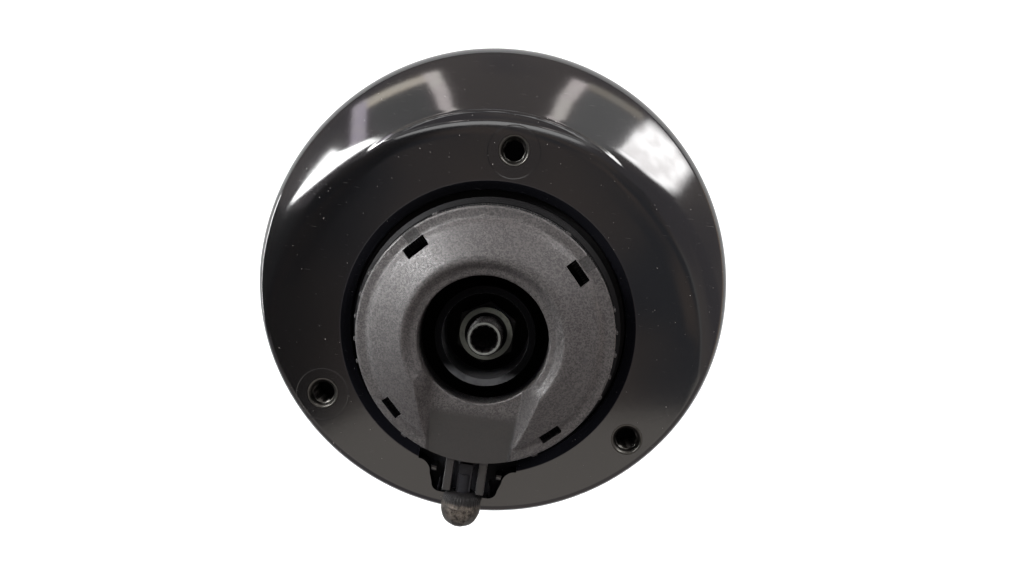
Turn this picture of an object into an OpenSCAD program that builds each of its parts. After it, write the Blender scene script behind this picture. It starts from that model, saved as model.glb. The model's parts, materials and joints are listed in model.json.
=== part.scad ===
// Air-suspension strut with a moulded pot, an offset top mount and a twin-tube damper.
// The origin is the centre of the three mounting threads, in the plane of the mounting flat.
// +Z runs up the strut's axis, out of the flat. The air fitting points to -Y.
// The strut is drawn at full extension.

/* [Mounting flat] */
// Diameter of the circle through the three mounting threads
bolt_circle_d = 148; // [144:1:152]
// Bore of the threaded inserts, tapped for an M10 bolt
insert_bore_d = 8.7; // [6.8:0.1:9.2]
// Outer diameter of the threaded inserts
insert_d = 13; // [12:0.5:15]
// Length of the threaded inserts
insert_l = 20; // [14:1:26]
// Wall thickness of the bosses round the inserts
boss_wall = 5; // [4:0.5:5.5]
// Diameter of the arc that ends the flat over the flank
flat_d = 191; // [187:1:193]
// Distance of that arc's centre from the strut's axis, towards the fitting
flat_shift = 12.3; // [11:0.1:14]
// Step from the flat down to the top of the flank
flat_step = 2.4; // [1.6:0.1:3.4]
// Thickness of the flat
flat_t = 5; // [4.5:0.5:7]
// Rounding of the flat's edge
flat_round = 2; // [0.8:0.1:2.6]

/* [Pot] */
// Outer diameter of the pot
pot_d = 195.2; // [193:0.2:206]
// Distance of the pot's centre from the strut's axis, away from the fitting
pot_shift = 19.8; // [17:0.1:21]
// Wall thickness of the pot
pot_wall = 3.5; // [2.5:0.1:5]
// Height of the upper shell
upper_h = 62; // [54:1:80]
// Height of the lower shell without its neck
lower_h = 42; // [34:1:60]
// Rounding of the lower shell's corner
lower_round = 14; // [8:1:20]
// Tilt of the flank's axis from the strut's axis, in degrees
flank_tilt = 9.5; // [8:0.1:11]
// Slope of the flank's cone, in degrees
flank_slope = 21.5; // [19:0.5:24]
// Distance from the strut's axis to the line where the flank's rim meets the flat
rim_lead = 5; // [0:0.5:8]
// Rounding of the flank's rim
rim_round = 4; // [2:0.5:6]
// Width of the weld flange
weld_w = 3; // [2:0.5:5]
// Thickness of the weld flange on each shell
weld_t = 5; // [3:0.5:7]
// Number of ribs inside the upper shell and under the lower one
rib_count = 18; // [10:1:24]
// Thickness of the ribs
rib_t = 2.4; // [1.8:0.1:3.5]
// Depth of the ribs inside the upper shell
rib_depth = 18; // [12:1:19]
// Depth of the ribs under the lower shell, at the neck
under_rib_h = 10; // [6:1:11]

/* [Neck and guide] */
// Outer diameter of the neck that the bellows is clamped on
neck_d = 119.6; // [112:0.2:126]
// Wall thickness of the neck
neck_wall = 4; // [3:0.5:6]
// Height of the neck under the lower shell
neck_h = 24; // [20:1:30]
// Thickness of the bellows' rubber
bellows_t = 2.4; // [1.6:0.1:3]
// Wall thickness of the guide tube
guide_wall = 1.8; // [1.2:0.1:3]
// Wall thickness of the crimp rings
clamp_t = 2; // [1.2:0.1:3]
// Width of the crimp rings
clamp_w = 12; // [8:1:14]

/* [Hub and air fitting] */
// Diameter of the hub's seat in the housing
hub_d = 114.4; // [110:0.2:116]
// Diameter of the hub's rim above the flat
hub_rim_d = 109; // [106:0.5:109.5]
// Height of the hub's rim above the flat
hub_rim_h = 8; // [6:0.5:10]
// Depth of the housing's bearing face for the hub, under the flat
hub_seat = 20; // [18:1:26]
// Thickness of the hub's flange
hub_flange_t = 6; // [4:0.5:8]
// Bore of the hub that the rubber fills
hub_bore_d = 80; // [74:1:84]
// Diameter of the shallow recess round the hub
recess_d = 122.6; // [118:0.2:125]
// Depth of the shallow recess
recess_depth = 1.2; // [0.6:0.1:2]
// Width of the pocket that leads the fitting out
pocket_w = 30; // [26:1:34]
// Length of the pocket's end under the dust cap
pocket_under = 4.5; // [3:0.5:6]
// Depth of the pocket
pocket_depth = 9; // [8:0.5:12]
// Height of the dust cap's axis above the flat
fitting_z = 8.5; // [8.5:0.1:10]
// Diameter of the fitting's spigot in the hub
fitting_d = 7.4; // [6:0.1:7.6]
// Diameter of the dust cap
fitting_cap_d = 16.4; // [15:0.2:17]
// Length of the dust cap
fitting_cap_l = 15; // [13:0.5:17]
// Distance that the dust cap's tip stands out over the pot's edge
fitting_over = 3.7; // [1:0.1:6]

/* [Centre cap] */
// Diameter of the cap
cap_d = 102.6; // [100:0.2:105]
// Diameter of the well through the cap
cap_hole_d = 50.4; // [46:0.2:54]
// Diameter of the crown's highest circle
crown_d = 75; // [68:1:80]
// Width of the gasket under the cap
gasket_w = 8; // [6:0.5:10]
// Thickness of the gasket under the cap
gasket_t = 4; // [3:0.5:5]
// Height of the cap's skirt
cap_skirt_h = 7.7; // [6:0.1:10]
// Height of the crown above the cap's edge
crown_h = 8.8; // [7:0.1:12]
// Height of the well's edge above the cap's edge
well_edge_h = 4.4; // [3:0.1:6.6]
// Wall thickness of the cap
cap_wall = 2.2; // [1.6:0.1:3]
// Width of the channel across the cap, at the well
channel_w = 42; // [36:1:44]
// Width of the channel at the cap's edge
channel_edge_w = 34; // [28:1:36]
// Rise of the channel's floor from the cap's edge to the well
channel_rise = 1.5; // [0.6:0.1:2.6]
// Length of the latch slots
slot_l = 9; // [7:0.5:11]
// Width of the latch slots
slot_w = 3.6; // [3:0.1:4.5]
// Distance from the cap's edge to the two latch slots away from the fitting
slot_far_in = 6.9; // [6:0.1:8]
// Distance from the cap's edge to the two latch slots beside the fitting
slot_near_in = 4.6; // [4.2:0.1:6]
// Number of grip teeth on each side of the cap
tooth_count = 5; // [3:1:7]
// Angle between the grip teeth, in degrees
tooth_step = 10; // [8:0.5:11]

/* [Damper mount] */
// Depth of the rod's shoulder under the flat
shoulder_depth = 24; // [22:1:24]
// Thickness of the washer under the mount's core
washer_t = 3; // [2:0.5:3.5]
// Diameter of that washer
washer_d = 48; // [40:1:56]
// Diameter of the mount's steel core
core_d = 24; // [20:1:28]
// Height of the mount's core
core_h = 18; // [16:1:20]
// Outer diameter of the cup washer
cup_d = 39.8; // [36:0.2:42]
// Wall thickness of the cup washer
cup_wall = 2.8; // [2:0.1:3.4]
// Height of the cup washer
cup_h = 22.5; // [18:0.5:24]
// Height of the rod nut
nut_h = 12.5; // [10:0.5:14]
// Width across the rod nut's flats
nut_af = 22; // [20:1:24]
// Diameter of the rod nut's collar
nut_collar_d = 21.2; // [19:0.2:22]
// Length of the rod above the nut
tip_l = 14.5; // [8:0.5:16]
// Diameter of the rod's threaded end
rod_end_d = 14; // [12:0.5:15]
// Width across the twelve-point socket in the rod's end
socket_d = 10.4; // [8.4:0.2:10.8]
// Depth of that socket
socket_depth = 9; // [6:0.5:12]

/* [Bump stop and damper] */
// Travel from full extension to the bump stop
travel = 150; // [100:5:160]
// Diameter of the piston rod
rod_d = 20; // [18:0.5:22]
// Length of the bump stop
bump_l = 68; // [50:1:80]
// Diameter of the bump stop
bump_d = 52; // [46:1:53]
// Depth of the bump stop's holder
bump_cup_h = 20; // [14:1:26]
// Outer diameter of the damper tube
tube_d = 53; // [51:0.5:56]
// Wall thickness of the damper tube
tube_wall = 2; // [1.5:0.1:3]
// Length of the damper tube
tube_l = 261; // [256:1:290]
// Bore of the working cylinder
cylinder_d = 36; // [32:0.5:38]
// Wall thickness of the working cylinder
cylinder_wall = 1.5; // [1:0.1:2]
// Height of the damper piston
damper_piston_h = 20; // [16:1:26]
// Height of the rebound stop
rebound_h = 13; // [8:0.5:16]

/* [Rolling piston and gaiter] */
// Diameter of the rolling piston
roll_d = 92; // [88:1:95]
// Diameter of the rolling piston's clamp neck
roll_neck_d = 80; // [74:1:82]
// Length of the rolling piston
roll_l = 138; // [130:1:150]
// Wall thickness of the rolling piston
roll_wall = 3; // [2:0.5:4]
// Distance of the first seal in the rolling piston from its top
seal_first = 8; // [6:0.5:10]
// Distance between the two seals
seal_step = 10; // [8:0.5:12]
// Height of the seals' grooves
seal_groove_h = 3; // [2.4:0.1:3.6]
// Depth of the bellows' fold under the rolling piston's top
fold_depth = 46; // [40:1:60]
// Wall thickness of the gaiter
gaiter_t = 1.6; // [1:0.1:2]
// Number of folds in the gaiter
fold_count = 11; // [8:1:13]
// Depth of the gaiter's folds
fold_h = 6; // [4:0.5:7]
// Distance from the tube's foot to the gaiter's lower end
gaiter_foot = 34; // [26:1:40]

/* [Lower eye] */
// Distance from the tube's foot to the centre of the eye
eye_drop = 28; // [27:1:36]
// Outer diameter of the eye
eye_d = 50; // [48:1:54]
// Width of the eye
eye_w = 42; // [36:1:46]
// Outer diameter of the bush
bush_d = 40; // [36:1:42]
// Wall thickness of the bush's outer sleeve
bush_wall = 1.7; // [1.2:0.1:2.5]
// Outer diameter of the inner sleeve
sleeve_d = 22; // [20:0.5:24]
// Bore of the inner sleeve, for an M14 bolt
sleeve_bore_d = 14.1; // [12.1:0.1:16.1]
// Length of the inner sleeve
sleeve_l = 52; // [48:1:58]

/* [Fits] */
// Radial clearance between parts that are only near each other
gap = 0.3; // [0.2:0.05:0.4]
// Radial clearance of sliding and turning fits
run_gap = 0.05; // [0.02:0.01:0.1]

/* [Hidden] */
$fn = 96;
pot_r = pot_d / 2;
neck_r = neck_d / 2;
rim_z = -(pot_shift + rim_lead) * tan(flank_tilt);
pot_floor_z = -upper_h - lower_h;
neck_foot_z = pot_floor_z - neck_h;
hub_foot_z = -hub_seat - hub_flange_t;
hub_step_z = -8;
ring_groove_z = -12;
ring_groove_h = 3.6;
ring_groove_depth = 2.6;
lip_t = 3;
lip_r = hub_bore_d / 2 - 8;
cap_foot_z = hub_rim_h + gasket_t;
cap_edge_z = cap_foot_z + cap_skirt_h;
crown_r = crown_d / 2;
core_foot_z = -shoulder_depth + washer_t;
core_top_z = core_foot_z + core_h;
cup_floor_t = 3;
nut_foot_z = core_top_z + cup_floor_t;
nut_top_z = nut_foot_z + nut_h;
rod_top_z = nut_top_z + tip_l;
bump_plate_t = 2;
bump_top_z = hub_foot_z - bump_plate_t;
bump_foot_z = bump_top_z - bump_l;
limit_gap = 0.5;
tube_cap_t = 3;
tube_cap_h = 14;
tube_cap_top_z = bump_foot_z - limit_gap - travel;
tube_top_z = tube_cap_top_z - tube_cap_t;
tube_foot_z = tube_top_z - tube_l;
tube_r = tube_d / 2;
tube_bore_r = tube_r - tube_wall;
tube_lip_t = 2;
tube_floor_t = 4;
seal_h = 5;
guide_h = 18;
guide_spigot_h = 8;
seal_top_z = tube_top_z - tube_lip_t;
guide_top_z = seal_top_z - seal_h;
guide_foot_z = guide_top_z - guide_h - guide_spigot_h;
cylinder_r = cylinder_d / 2;
valve_h = 12;
cylinder_top_z = guide_top_z - guide_h;
cylinder_foot_z = tube_foot_z + tube_floor_t + valve_h;
piston_top_z = guide_foot_z - gap - rebound_h;
piston_foot_z = piston_top_z - damper_piston_h;
band_h = 10;
band_t = 1;
piston_nut_h = 8;
piston_stud_r = 6;
rod_foot_z = piston_foot_z - piston_nut_h - 2;
roll_top_z = tube_cap_top_z - tube_cap_h - 4;
roll_foot_z = roll_top_z - roll_l;
roll_r = roll_d / 2;
roll_neck_r = roll_neck_d / 2;
roll_neck_h = clamp_w + 3;
roll_shoulder_h = 8;
roll_sleeve_h = 36;
support_t = 5;
guide_ri = neck_r + 2 * gap + bellows_t;
guide_ro = guide_ri + guide_wall;
fold_z = roll_top_z - fold_depth;
fold_in_r = roll_r + gap;
fold_out_r = neck_r + gap + bellows_t;
fold_r = (fold_out_r - fold_in_r) / 2;
fold_mid_r = (fold_out_r + fold_in_r) / 2;
guide_foot_tube_z = fold_z - fold_r - 6;
clamp_zone_top = pot_floor_z - under_rib_h - gap;
gaiter_collar_h = 14;
gaiter_top_z = guide_foot_tube_z + gaiter_collar_h;
gaiter_foot_z = tube_foot_z + gaiter_foot;
band_w = 8;
gaiter_band_t = 1.2;
eye_z = tube_foot_z - eye_drop;
rail_w = 3.4;
rail_x = 6.8;
fitting_cap_to = pot_r - pot_shift + fitting_over;
fitting_cap_from = fitting_cap_to - fitting_cap_l;
rail_end = fitting_cap_from - gap;
pocket_end = fitting_cap_from + pocket_under;
gasket_r = cap_d / 2 + 0.6;
fitting_from = max(hub_rim_d / 2, gasket_r) + gap;
fitting_seat = hub_rim_d / 2 - 5;
spigot_z = fitting_d / 2 - 1.2;
passage_d = 2.4;
nipple_r = 3;
hub_flange_r = (bolt_circle_d - insert_d) / 2 - boss_wall - gap;

// Points of an arc about c, from angle a to angle b
function arc(c, r, a, b, n = 8) =
    [for (i = [0:n]) c + r * [cos(a + (b - a) * i / n), sin(a + (b - a) * i / n)]];

// Height of the cap's outer surface at distance r from the axis
function crown_z(r) = r > crown_r
    ? cap_edge_z + crown_h * pow(1 - pow((r - crown_r) / (cap_d / 2 - crown_r), 2.2), 0.75)
    : cap_edge_z + crown_h
        - (crown_h - well_edge_h) * pow((crown_r - r) / (crown_r - cap_hole_d / 2), 2);

// Tube between two heights
module tube(ro, ri, z0, z1) {
    difference() {
        translate([0, 0, z0]) cylinder(r = ro, h = z1 - z0);
        translate([0, 0, z0 - 1]) cylinder(r = ri, h = z1 - z0 + 2);
    }
}

// Disc that stands on z0 with its upper edge rounded
module round_disc(r, z0, z1, edge) {
    translate([0, 0, z0]) rotate_extrude() {
        square([r - edge, z1 - z0]);
        square([r, z1 - z0 - edge]);
        translate([r - edge, z1 - z0 - edge]) intersection() {
            circle(edge);
            square(edge + 1);
        }
    }
}

// Copies its children at the three mounting threads
module at_inserts() {
    for (a = [90, 210, 330]) rotate(a) translate([bolt_circle_d / 2, 0, 0]) children();
}

// Space under the flank: a tilted cone with a rounded rim, moved in by inset
module flank_space(inset = 0) {
    rim_r = pot_r + 1 - inset;
    flare = flank_tilt + 1;
    turn = (90 - flank_slope - flare) / 2;
    corner = [rim_r, (pot_r - rim_r) * tan(flank_slope) - inset / cos(flank_slope)];
    middle = flare + turn;
    centre = corner - rim_round / cos(turn) * [cos(middle), sin(middle)];
    apex_z = pot_r * tan(flank_slope) - inset / cos(flank_slope);
    depth = upper_h + 40;
    translate([0, pot_shift, rim_z]) rotate([-flank_tilt, 0, 0]) rotate_extrude()
        polygon(concat([[0, apex_z]], arc(centre, rim_round, 90 - flank_slope, flare),
            [[rim_r + depth * tan(flare), -depth], [0, -depth]]));
}

// Outside of the upper shell, without its flange
module upper_envelope() {
    intersection() {
        translate([0, pot_shift, -upper_h]) cylinder(r = pot_r, h = upper_h - flat_step);
        flank_space();
    }
    intersection() {
        translate([0, -flat_shift, 0]) round_disc(flat_d / 2, -flat_step - 1, 0, flat_round);
        translate([0, pot_shift, 0]) round_disc(pot_r, -flat_step - 1, 0, flat_round);
    }
}

// Plan of the pocket: its mouth flares into the ring round the hub, its end is rounded
module pocket_plan(grow = 0) {
    mouth_r = recess_d / 2 - 3;
    half = pocket_w / 2 + grow;
    end_half = half - 3;
    flare = 4;
    difference() {
        union() {
            polygon([[-half, -mouth_r], [half, -mouth_r], [end_half + 1, -pocket_end + 3],
                [-end_half - 1, -pocket_end + 3]]);
            polygon([[-half, -mouth_r - 1], [half, -mouth_r - 1], [half, -45], [-half, -45]]);
            translate([-end_half + 2, -pocket_end - grow]) square([2 * end_half - 4, 6]);
            for (side = [-1, 1])
                translate([side * (end_half - 2), -pocket_end + 3 - grow]) circle(3);
            translate([-half - flare, -mouth_r - 1]) square([2 * (half + flare), flare]);
        }
        for (side = [-1, 1])
            translate([side * (half + flare), -mouth_r - 1]) circle(flare);
    }
}

module top_housing() {
    boss_r = hub_d / 2 + gap + pot_wall + 0.5;
    color("#101010") difference() {
        union() {
            difference() {
                upper_envelope();
                intersection() {
                    translate([0, pot_shift, -upper_h - 1])
                        cylinder(r = pot_r - pot_wall, h = upper_h + 1 - flat_t);
                    flank_space(pot_wall);
                }
            }
            intersection() {
                upper_envelope();
                union() {
                    translate([0, 0, -hub_seat]) cylinder(r = boss_r, h = hub_seat);
                    at_inserts() translate([0, 0, -insert_l - pot_wall])
                        cylinder(r = insert_d / 2 + boss_wall, h = insert_l + pot_wall);
                    for (i = [0:rib_count - 1]) rotate(i * 360 / rib_count)
                        translate([hub_d / 2 + 1, -rib_t / 2, -rib_depth])
                            cube([pot_d, rib_t, rib_depth]);
                    translate([0, 0, -pocket_depth - pot_wall])
                        linear_extrude(pocket_depth + pot_wall) pocket_plan(pot_wall);
                }
            }
            translate([0, pot_shift, 0])
                tube(pot_r + weld_w, pot_r - pot_wall, -upper_h, -upper_h + weld_t);
        }
        translate([0, 0, -hub_seat - 1]) cylinder(r = hub_d / 2 + gap, h = hub_seat + 2);
        translate([0, 0, -recess_depth]) cylinder(r = recess_d / 2, h = recess_depth + 1);
        at_inserts() translate([0, 0, -insert_l]) cylinder(r = insert_d / 2, h = insert_l + 1);
        translate([0, 0, -pocket_depth]) linear_extrude(pocket_depth + 1) pocket_plan();
    }
}

module lower_housing() {
    inner_r = pot_r - pot_wall;
    inner_round = lower_round - pot_wall;
    reach = pot_r - lower_round;
    color("#141414") {
        difference() {
            union() {
                translate([0, pot_shift, -upper_h]) mirror([0, 0, 1])
                    round_disc(pot_r, 0, lower_h, lower_round);
                translate([0, pot_shift, 0])
                    tube(pot_r + weld_w, pot_r - 1, -upper_h - weld_t, -upper_h);
                translate([0, 0, neck_foot_z]) cylinder(r = neck_r, h = neck_h + pot_wall);
                intersection() {
                    for (i = [0:rib_count - 1]) rotate(i * 360 / rib_count)
                        rotate([90, 0, 0]) translate([0, 0, -rib_t / 2]) linear_extrude(rib_t)
                            polygon([[neck_r - 1, pot_floor_z + 1], [neck_r + 48, pot_floor_z + 1],
                                [neck_r + 48, pot_floor_z - 2],
                                [neck_r - 1, pot_floor_z - under_rib_h]]);
                    translate([0, pot_shift, neck_foot_z]) cylinder(r = reach, h = neck_h + 2);
                }
            }
            translate([0, pot_shift, -upper_h]) mirror([0, 0, 1]) translate([0, 0, -1])
                round_disc(inner_r, 0, lower_h + 1 - pot_wall, inner_round);
            translate([0, 0, neck_foot_z - 1])
                cylinder(r = neck_r - neck_wall, h = neck_h + pot_wall + 2);
        }
    }
}

module threaded_inserts() {
    bore_r = insert_bore_d / 2;
    chamfer = 0.6;
    color("silver") at_inserts() rotate_extrude()
        polygon([[bore_r, -insert_l], [insert_d / 2, -insert_l], [insert_d / 2, -chamfer],
            [insert_d / 2 - chamfer, 0], [bore_r, 0]]);
}

module mount_hub() {
    seat_r = hub_d / 2;
    rim_r = hub_rim_d / 2;
    step = 1.05;
    color("#0d0d0d") difference() {
        rotate_extrude() polygon([
            [hub_bore_d / 2, hub_rim_h], [rim_r - 2 * step, hub_rim_h],
            [rim_r - 2 * step, hub_rim_h - 1.4], [rim_r - step, hub_rim_h - 2],
            [rim_r - step, hub_rim_h - 3.4], [rim_r, hub_rim_h - 4],
            [rim_r, hub_step_z], [seat_r, hub_step_z], [seat_r, ring_groove_z],
            [seat_r - ring_groove_depth, ring_groove_z],
            [seat_r - ring_groove_depth, ring_groove_z - ring_groove_h],
            [seat_r, ring_groove_z - ring_groove_h], [seat_r, -hub_seat],
            [hub_flange_r, -hub_seat], [hub_flange_r, hub_foot_z],
            [lip_r, hub_foot_z], [lip_r, hub_foot_z + lip_t],
            [hub_bore_d / 2, hub_foot_z + lip_t]]);
        translate([0, 0, spigot_z]) rotate([90, 0, 0]) {
            translate([0, 0, fitting_seat]) cylinder(r = fitting_d / 2, h = 20);
            translate([0, 0, fitting_seat - 4]) cylinder(r = passage_d / 2, h = 10);
        }
        translate([0, -fitting_seat + 2, hub_foot_z - 1])
            cylinder(r = passage_d / 2, h = spigot_z - hub_foot_z + 1);
    }
}

module hub_o_ring() {
    ring_r = (ring_groove_h - 0.2) / 2;
    color("black") rotate_extrude()
        translate([hub_d / 2 - ring_groove_depth + ring_r, ring_groove_z - ring_groove_h / 2])
            intersection() {
                circle(ring_r);
                translate([-ring_r, -ring_r]) square([ring_groove_depth + gap, 2 * ring_r]);
            }
}

module cap_gasket() {
    color("#1a1a1a") tube(gasket_r, gasket_r - gasket_w, hub_rim_h, hub_rim_h + gasket_t);
}

// Shell of the cap: outer surface from the skirt over the crown into the well
module cap_shell() {
    r0 = cap_hole_d / 2;
    r1 = cap_d / 2;
    n = 20;
    outer = [for (i = [0:n]) let (r = r1 - (r1 - r0) * i / n) [r, crown_z(r)]];
    inner = [for (i = [n:-1:0]) let (r = r1 - cap_wall - (r1 - r0 - 2 * cap_wall) * i / n)
        [r, max(crown_z(r) - cap_wall * 1.15, cap_foot_z + 1)]];
    rotate_extrude() polygon(concat([[r1, cap_foot_z]], outer,
        [[r0, cap_foot_z - 4], [r0 + cap_wall, cap_foot_z - 4]], inner,
        [[r1 - cap_wall, cap_foot_z]]));
}

// Space of the channel over its floor: narrower at the cap's edge, with leaning sides
module channel_space(low = 0, wider = 0) {
    r0 = cap_hole_d / 2;
    r1 = cap_d / 2;
    fall = channel_rise / (r1 - r0);
    taper = atan((channel_w - channel_edge_w) / 2 / (r1 - r0));
    lean = 35;
    difference() {
        rotate([90, 0, 90]) translate([0, 0, -cap_d / 2]) linear_extrude(cap_d)
            polygon([[-r0 + 3, cap_edge_z + channel_rise + 3 * fall - low],
                [-r1 - 1, cap_edge_z - fall - low],
                [-r1 - 1, cap_edge_z + crown_h + 2], [-r0 + 3, cap_edge_z + crown_h + 2]]);
        for (side = [0, 1]) mirror([side, 0, 0])
            translate([channel_w / 2 + wider, -r0, cap_edge_z])
                rotate([0, 0, -taper]) rotate([0, lean, 0])
                    translate([0, -cap_d, -cap_d / 2]) cube([cap_d, 2 * cap_d, cap_d]);
    }
}

module centre_cap() {
    r0 = cap_hole_d / 2;
    r1 = cap_d / 2;
    tooth = 1.8;
    color("#4a4a4c") difference() {
        union() {
            difference() {
                cap_shell();
                channel_space();
            }
            intersection() {
                tube(r1, r0, cap_foot_z, cap_edge_z + crown_h);
                difference() {
                    channel_space(cap_wall, cap_wall);
                    channel_space();
                }
                translate([0, 0, cap_foot_z]) rotate_extrude()
                    polygon(concat([[0, 0], [r1, 0]],
                        [for (i = [0:16]) let (r = r1 - (r1 - r0) * i / 16)
                            [r, crown_z(r) - cap_foot_z]], [[0, 0]]));
            }
            for (side = [0, 180], i = [0:tooth_count - 1])
                rotate(side + (i - (tooth_count - 1) / 2) * tooth_step)
                    translate([r1 - 1, -tooth / 2, cap_foot_z])
                        cube([2.1, tooth, cap_skirt_h - 0.6]);
            for (a = [59.4, 120.6, 239.4, 300.6]) rotate(a)
                translate([r1 - 1, -2, cap_foot_z]) cube([2.4, 4, cap_skirt_h - 1]);
            for (side = [-1, 1]) translate([side * rail_x - rail_w / 2, 0, 0])
                rotate([90, 0, 90]) linear_extrude(rail_w) polygon([
                    [-r1 + cap_wall, cap_foot_z], [-r1 + cap_wall, cap_foot_z + 3],
                    [-r1 - 3, cap_foot_z + 0.4], [-rail_end, cap_foot_z + 0.2],
                    [-rail_end, hub_rim_h + gap], [-r1 - 2, hub_rim_h + gap],
                    [-r1 - 1.4, cap_foot_z]]);
        }
        for (s = [[42, slot_far_in], [137, slot_far_in], [226, slot_near_in],
            [312, slot_near_in]])
            rotate(s[0]) translate([r1 - s[1] - slot_w / 2, -slot_l / 2, cap_foot_z - 1])
                cube([slot_w, slot_l, 40]);
    }
}

module mount_rubber() {
    ri = core_d / 2;
    ro = hub_bore_d / 2;
    z0 = hub_foot_z + lip_t;
    color("#0a0a0a") rotate_extrude()
        polygon(concat([[ri, core_foot_z + 1], [ri + 3, core_foot_z + 3], [lip_r, z0], [ro, z0]],
            [[ro, -4]], arc([(ri + ro) / 2, 34], 42, -71, -109, 8), [[ri, core_top_z - 1.5]]));
}

module mount_core() {
    color("gray") tube(core_d / 2, rod_end_d / 2 + run_gap, core_foot_z, core_top_z);
}

module lower_washer() {
    color("gray") tube(washer_d / 2, rod_end_d / 2 + run_gap, -shoulder_depth, core_foot_z);
}

module cup_washer() {
    color("#0c0c0c") {
        tube(cup_d / 2, rod_end_d / 2 + run_gap, core_top_z, nut_foot_z);
        tube(cup_d / 2, cup_d / 2 - cup_wall, nut_foot_z - 1, core_top_z + cup_h);
    }
}

module rod_nut() {
    collar_h = 4;
    mouth = 1.6;
    color("#8f8f8f") difference() {
        union() {
            translate([0, 0, nut_foot_z]) rotate(30)
                cylinder(d = nut_af / cos(30), h = nut_h - collar_h, $fn = 6);
            translate([0, 0, nut_foot_z]) cylinder(d = nut_collar_d, h = nut_h);
        }
        translate([0, 0, nut_foot_z - 1]) cylinder(r = rod_end_d / 2 + run_gap, h = nut_h + 2);
        translate([0, 0, nut_top_z - mouth])
            cylinder(r1 = rod_end_d / 2 + run_gap, r2 = rod_end_d / 2 + mouth, h = mouth + 0.01);
    }
}

module piston_rod() {
    tip = 0.8;
    end_r = rod_end_d / 2;
    color("silver") difference() {
        rotate_extrude() polygon([[0, rod_foot_z], [piston_stud_r, rod_foot_z],
            [piston_stud_r, piston_top_z], [rod_d / 2, piston_top_z],
            [rod_d / 2, -shoulder_depth], [end_r, -shoulder_depth],
            [end_r, rod_top_z - tip], [end_r - tip, rod_top_z], [0, rod_top_z]]);
        translate([0, 0, rod_top_z - socket_depth]) for (a = [0, 30]) rotate(a)
            cylinder(d = socket_d / cos(15), h = socket_depth + 1, $fn = 6);
    }
}

module damper_piston() {
    ro = cylinder_r - 0.4;
    port_r = (ro + rod_d / 2) / 2;
    band_z = piston_top_z - (damper_piston_h + band_h) / 2;
    color("#777777") difference() {
        tube(ro, piston_stud_r + run_gap, piston_foot_z, piston_top_z);
        tube(cylinder_r + 1, cylinder_r - band_t, band_z, band_z + band_h);
        for (i = [0:5]) rotate(i * 60)
            translate([port_r, 0, piston_foot_z - 1]) cylinder(r = 1.2, h = damper_piston_h + 2);
    }
}

module piston_band() {
    band_z = piston_top_z - (damper_piston_h + band_h) / 2;
    color("#6b4a2b") tube(cylinder_r - run_gap, cylinder_r - band_t, band_z, band_z + band_h);
}

module piston_nut() {
    color("gray") difference() {
        translate([0, 0, piston_foot_z - piston_nut_h])
            cylinder(d = 19 / cos(30), h = piston_nut_h, $fn = 6);
        translate([0, 0, piston_foot_z - piston_nut_h - 1])
            cylinder(r = piston_stud_r + run_gap, h = piston_nut_h + 2);
    }
}

module rebound_stop() {
    color("#303030") tube(rod_d / 2 + 4, rod_d / 2 + run_gap, piston_top_z,
        piston_top_z + rebound_h);
}

module bump_stop_cup() {
    flange_r = hub_bore_d / 2 - 1;
    wall = 2;
    cup_r = bump_d / 2 + gap;
    color("#202020") {
        tube(flange_r, rod_d / 2 + 4, bump_top_z, hub_foot_z);
        tube(cup_r + wall, cup_r, bump_top_z - bump_cup_h, bump_top_z + 1);
    }
}

module bump_stop() {
    rb = rod_d / 2 + 2 * gap;
    ro = bump_d / 2;
    waist = 5;
    free_l = bump_l - bump_cup_h - 4;
    waves = 3;
    steps = 8 * waves;
    wave = [for (i = [0:steps]) let (t = i / steps)
        [ro - 4 * t - waist / 2 * (1 - cos(360 * waves * t)),
            bump_top_z - bump_cup_h - free_l * t]];
    color("#d9c27a") rotate_extrude() polygon(concat(
        [[rb, bump_top_z], [ro, bump_top_z]], wave, [[ro - 9, bump_foot_z], [rb, bump_foot_z]]));
}

module air_fitting() {
    body_w = 5.6;
    body_from = fitting_from;
    body_to = fitting_cap_from - gap;
    body_top = fitting_z + 2.2;
    bore_r = 1;
    duct_l = (body_to - body_from) / 4;
    duct_from = (body_from + body_to - duct_l) / 2;
    nipple_to = fitting_cap_from + 8;
    color("#3a3a3c") rotate([90, 0, 0]) difference() {
        union() {
            translate([0, spigot_z, fitting_seat])
                cylinder(r = fitting_d / 2, h = (body_from + duct_from) / 2 - fitting_seat);
            translate([-body_w / 2, spigot_z - 1.6, body_from])
                cube([body_w, body_top - spigot_z + 1.6, body_to - body_from]);
            translate([0, fitting_z, duct_from])
                cylinder(r = nipple_r, h = nipple_to - duct_from);
        }
        translate([0, spigot_z, fitting_seat - 1])
            cylinder(r = bore_r, h = duct_from + duct_l - fitting_seat + 1);
        translate([0, fitting_z, duct_from]) cylinder(r = bore_r, h = nipple_to - duct_from + 1);
        translate([-bore_r, spigot_z, duct_from])
            cube([2 * bore_r, fitting_z - spigot_z, duct_l]);
    }
}

module fitting_cap() {
    r = fitting_cap_d / 2;
    collar = 5;
    dome = fitting_cap_to - fitting_cap_from - collar;
    grip_r = nipple_r + run_gap;
    color("#5a5550") translate([0, 0, fitting_z]) rotate([90, 0, 0])
        translate([0, 0, fitting_cap_from]) rotate_extrude()
            polygon(concat([[grip_r, 0], [r, 0], [r, collar]],
                [for (i = [1:10]) [r * cos(9 * i), collar + dome * sin(9 * i)]],
                [[0, 9.4], [grip_r, 8.6]]));
}

module guide_tube() {
    color("#1c1c1c") {
        tube(guide_ro, guide_ri, guide_foot_tube_z, clamp_zone_top);
    }
}

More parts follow.
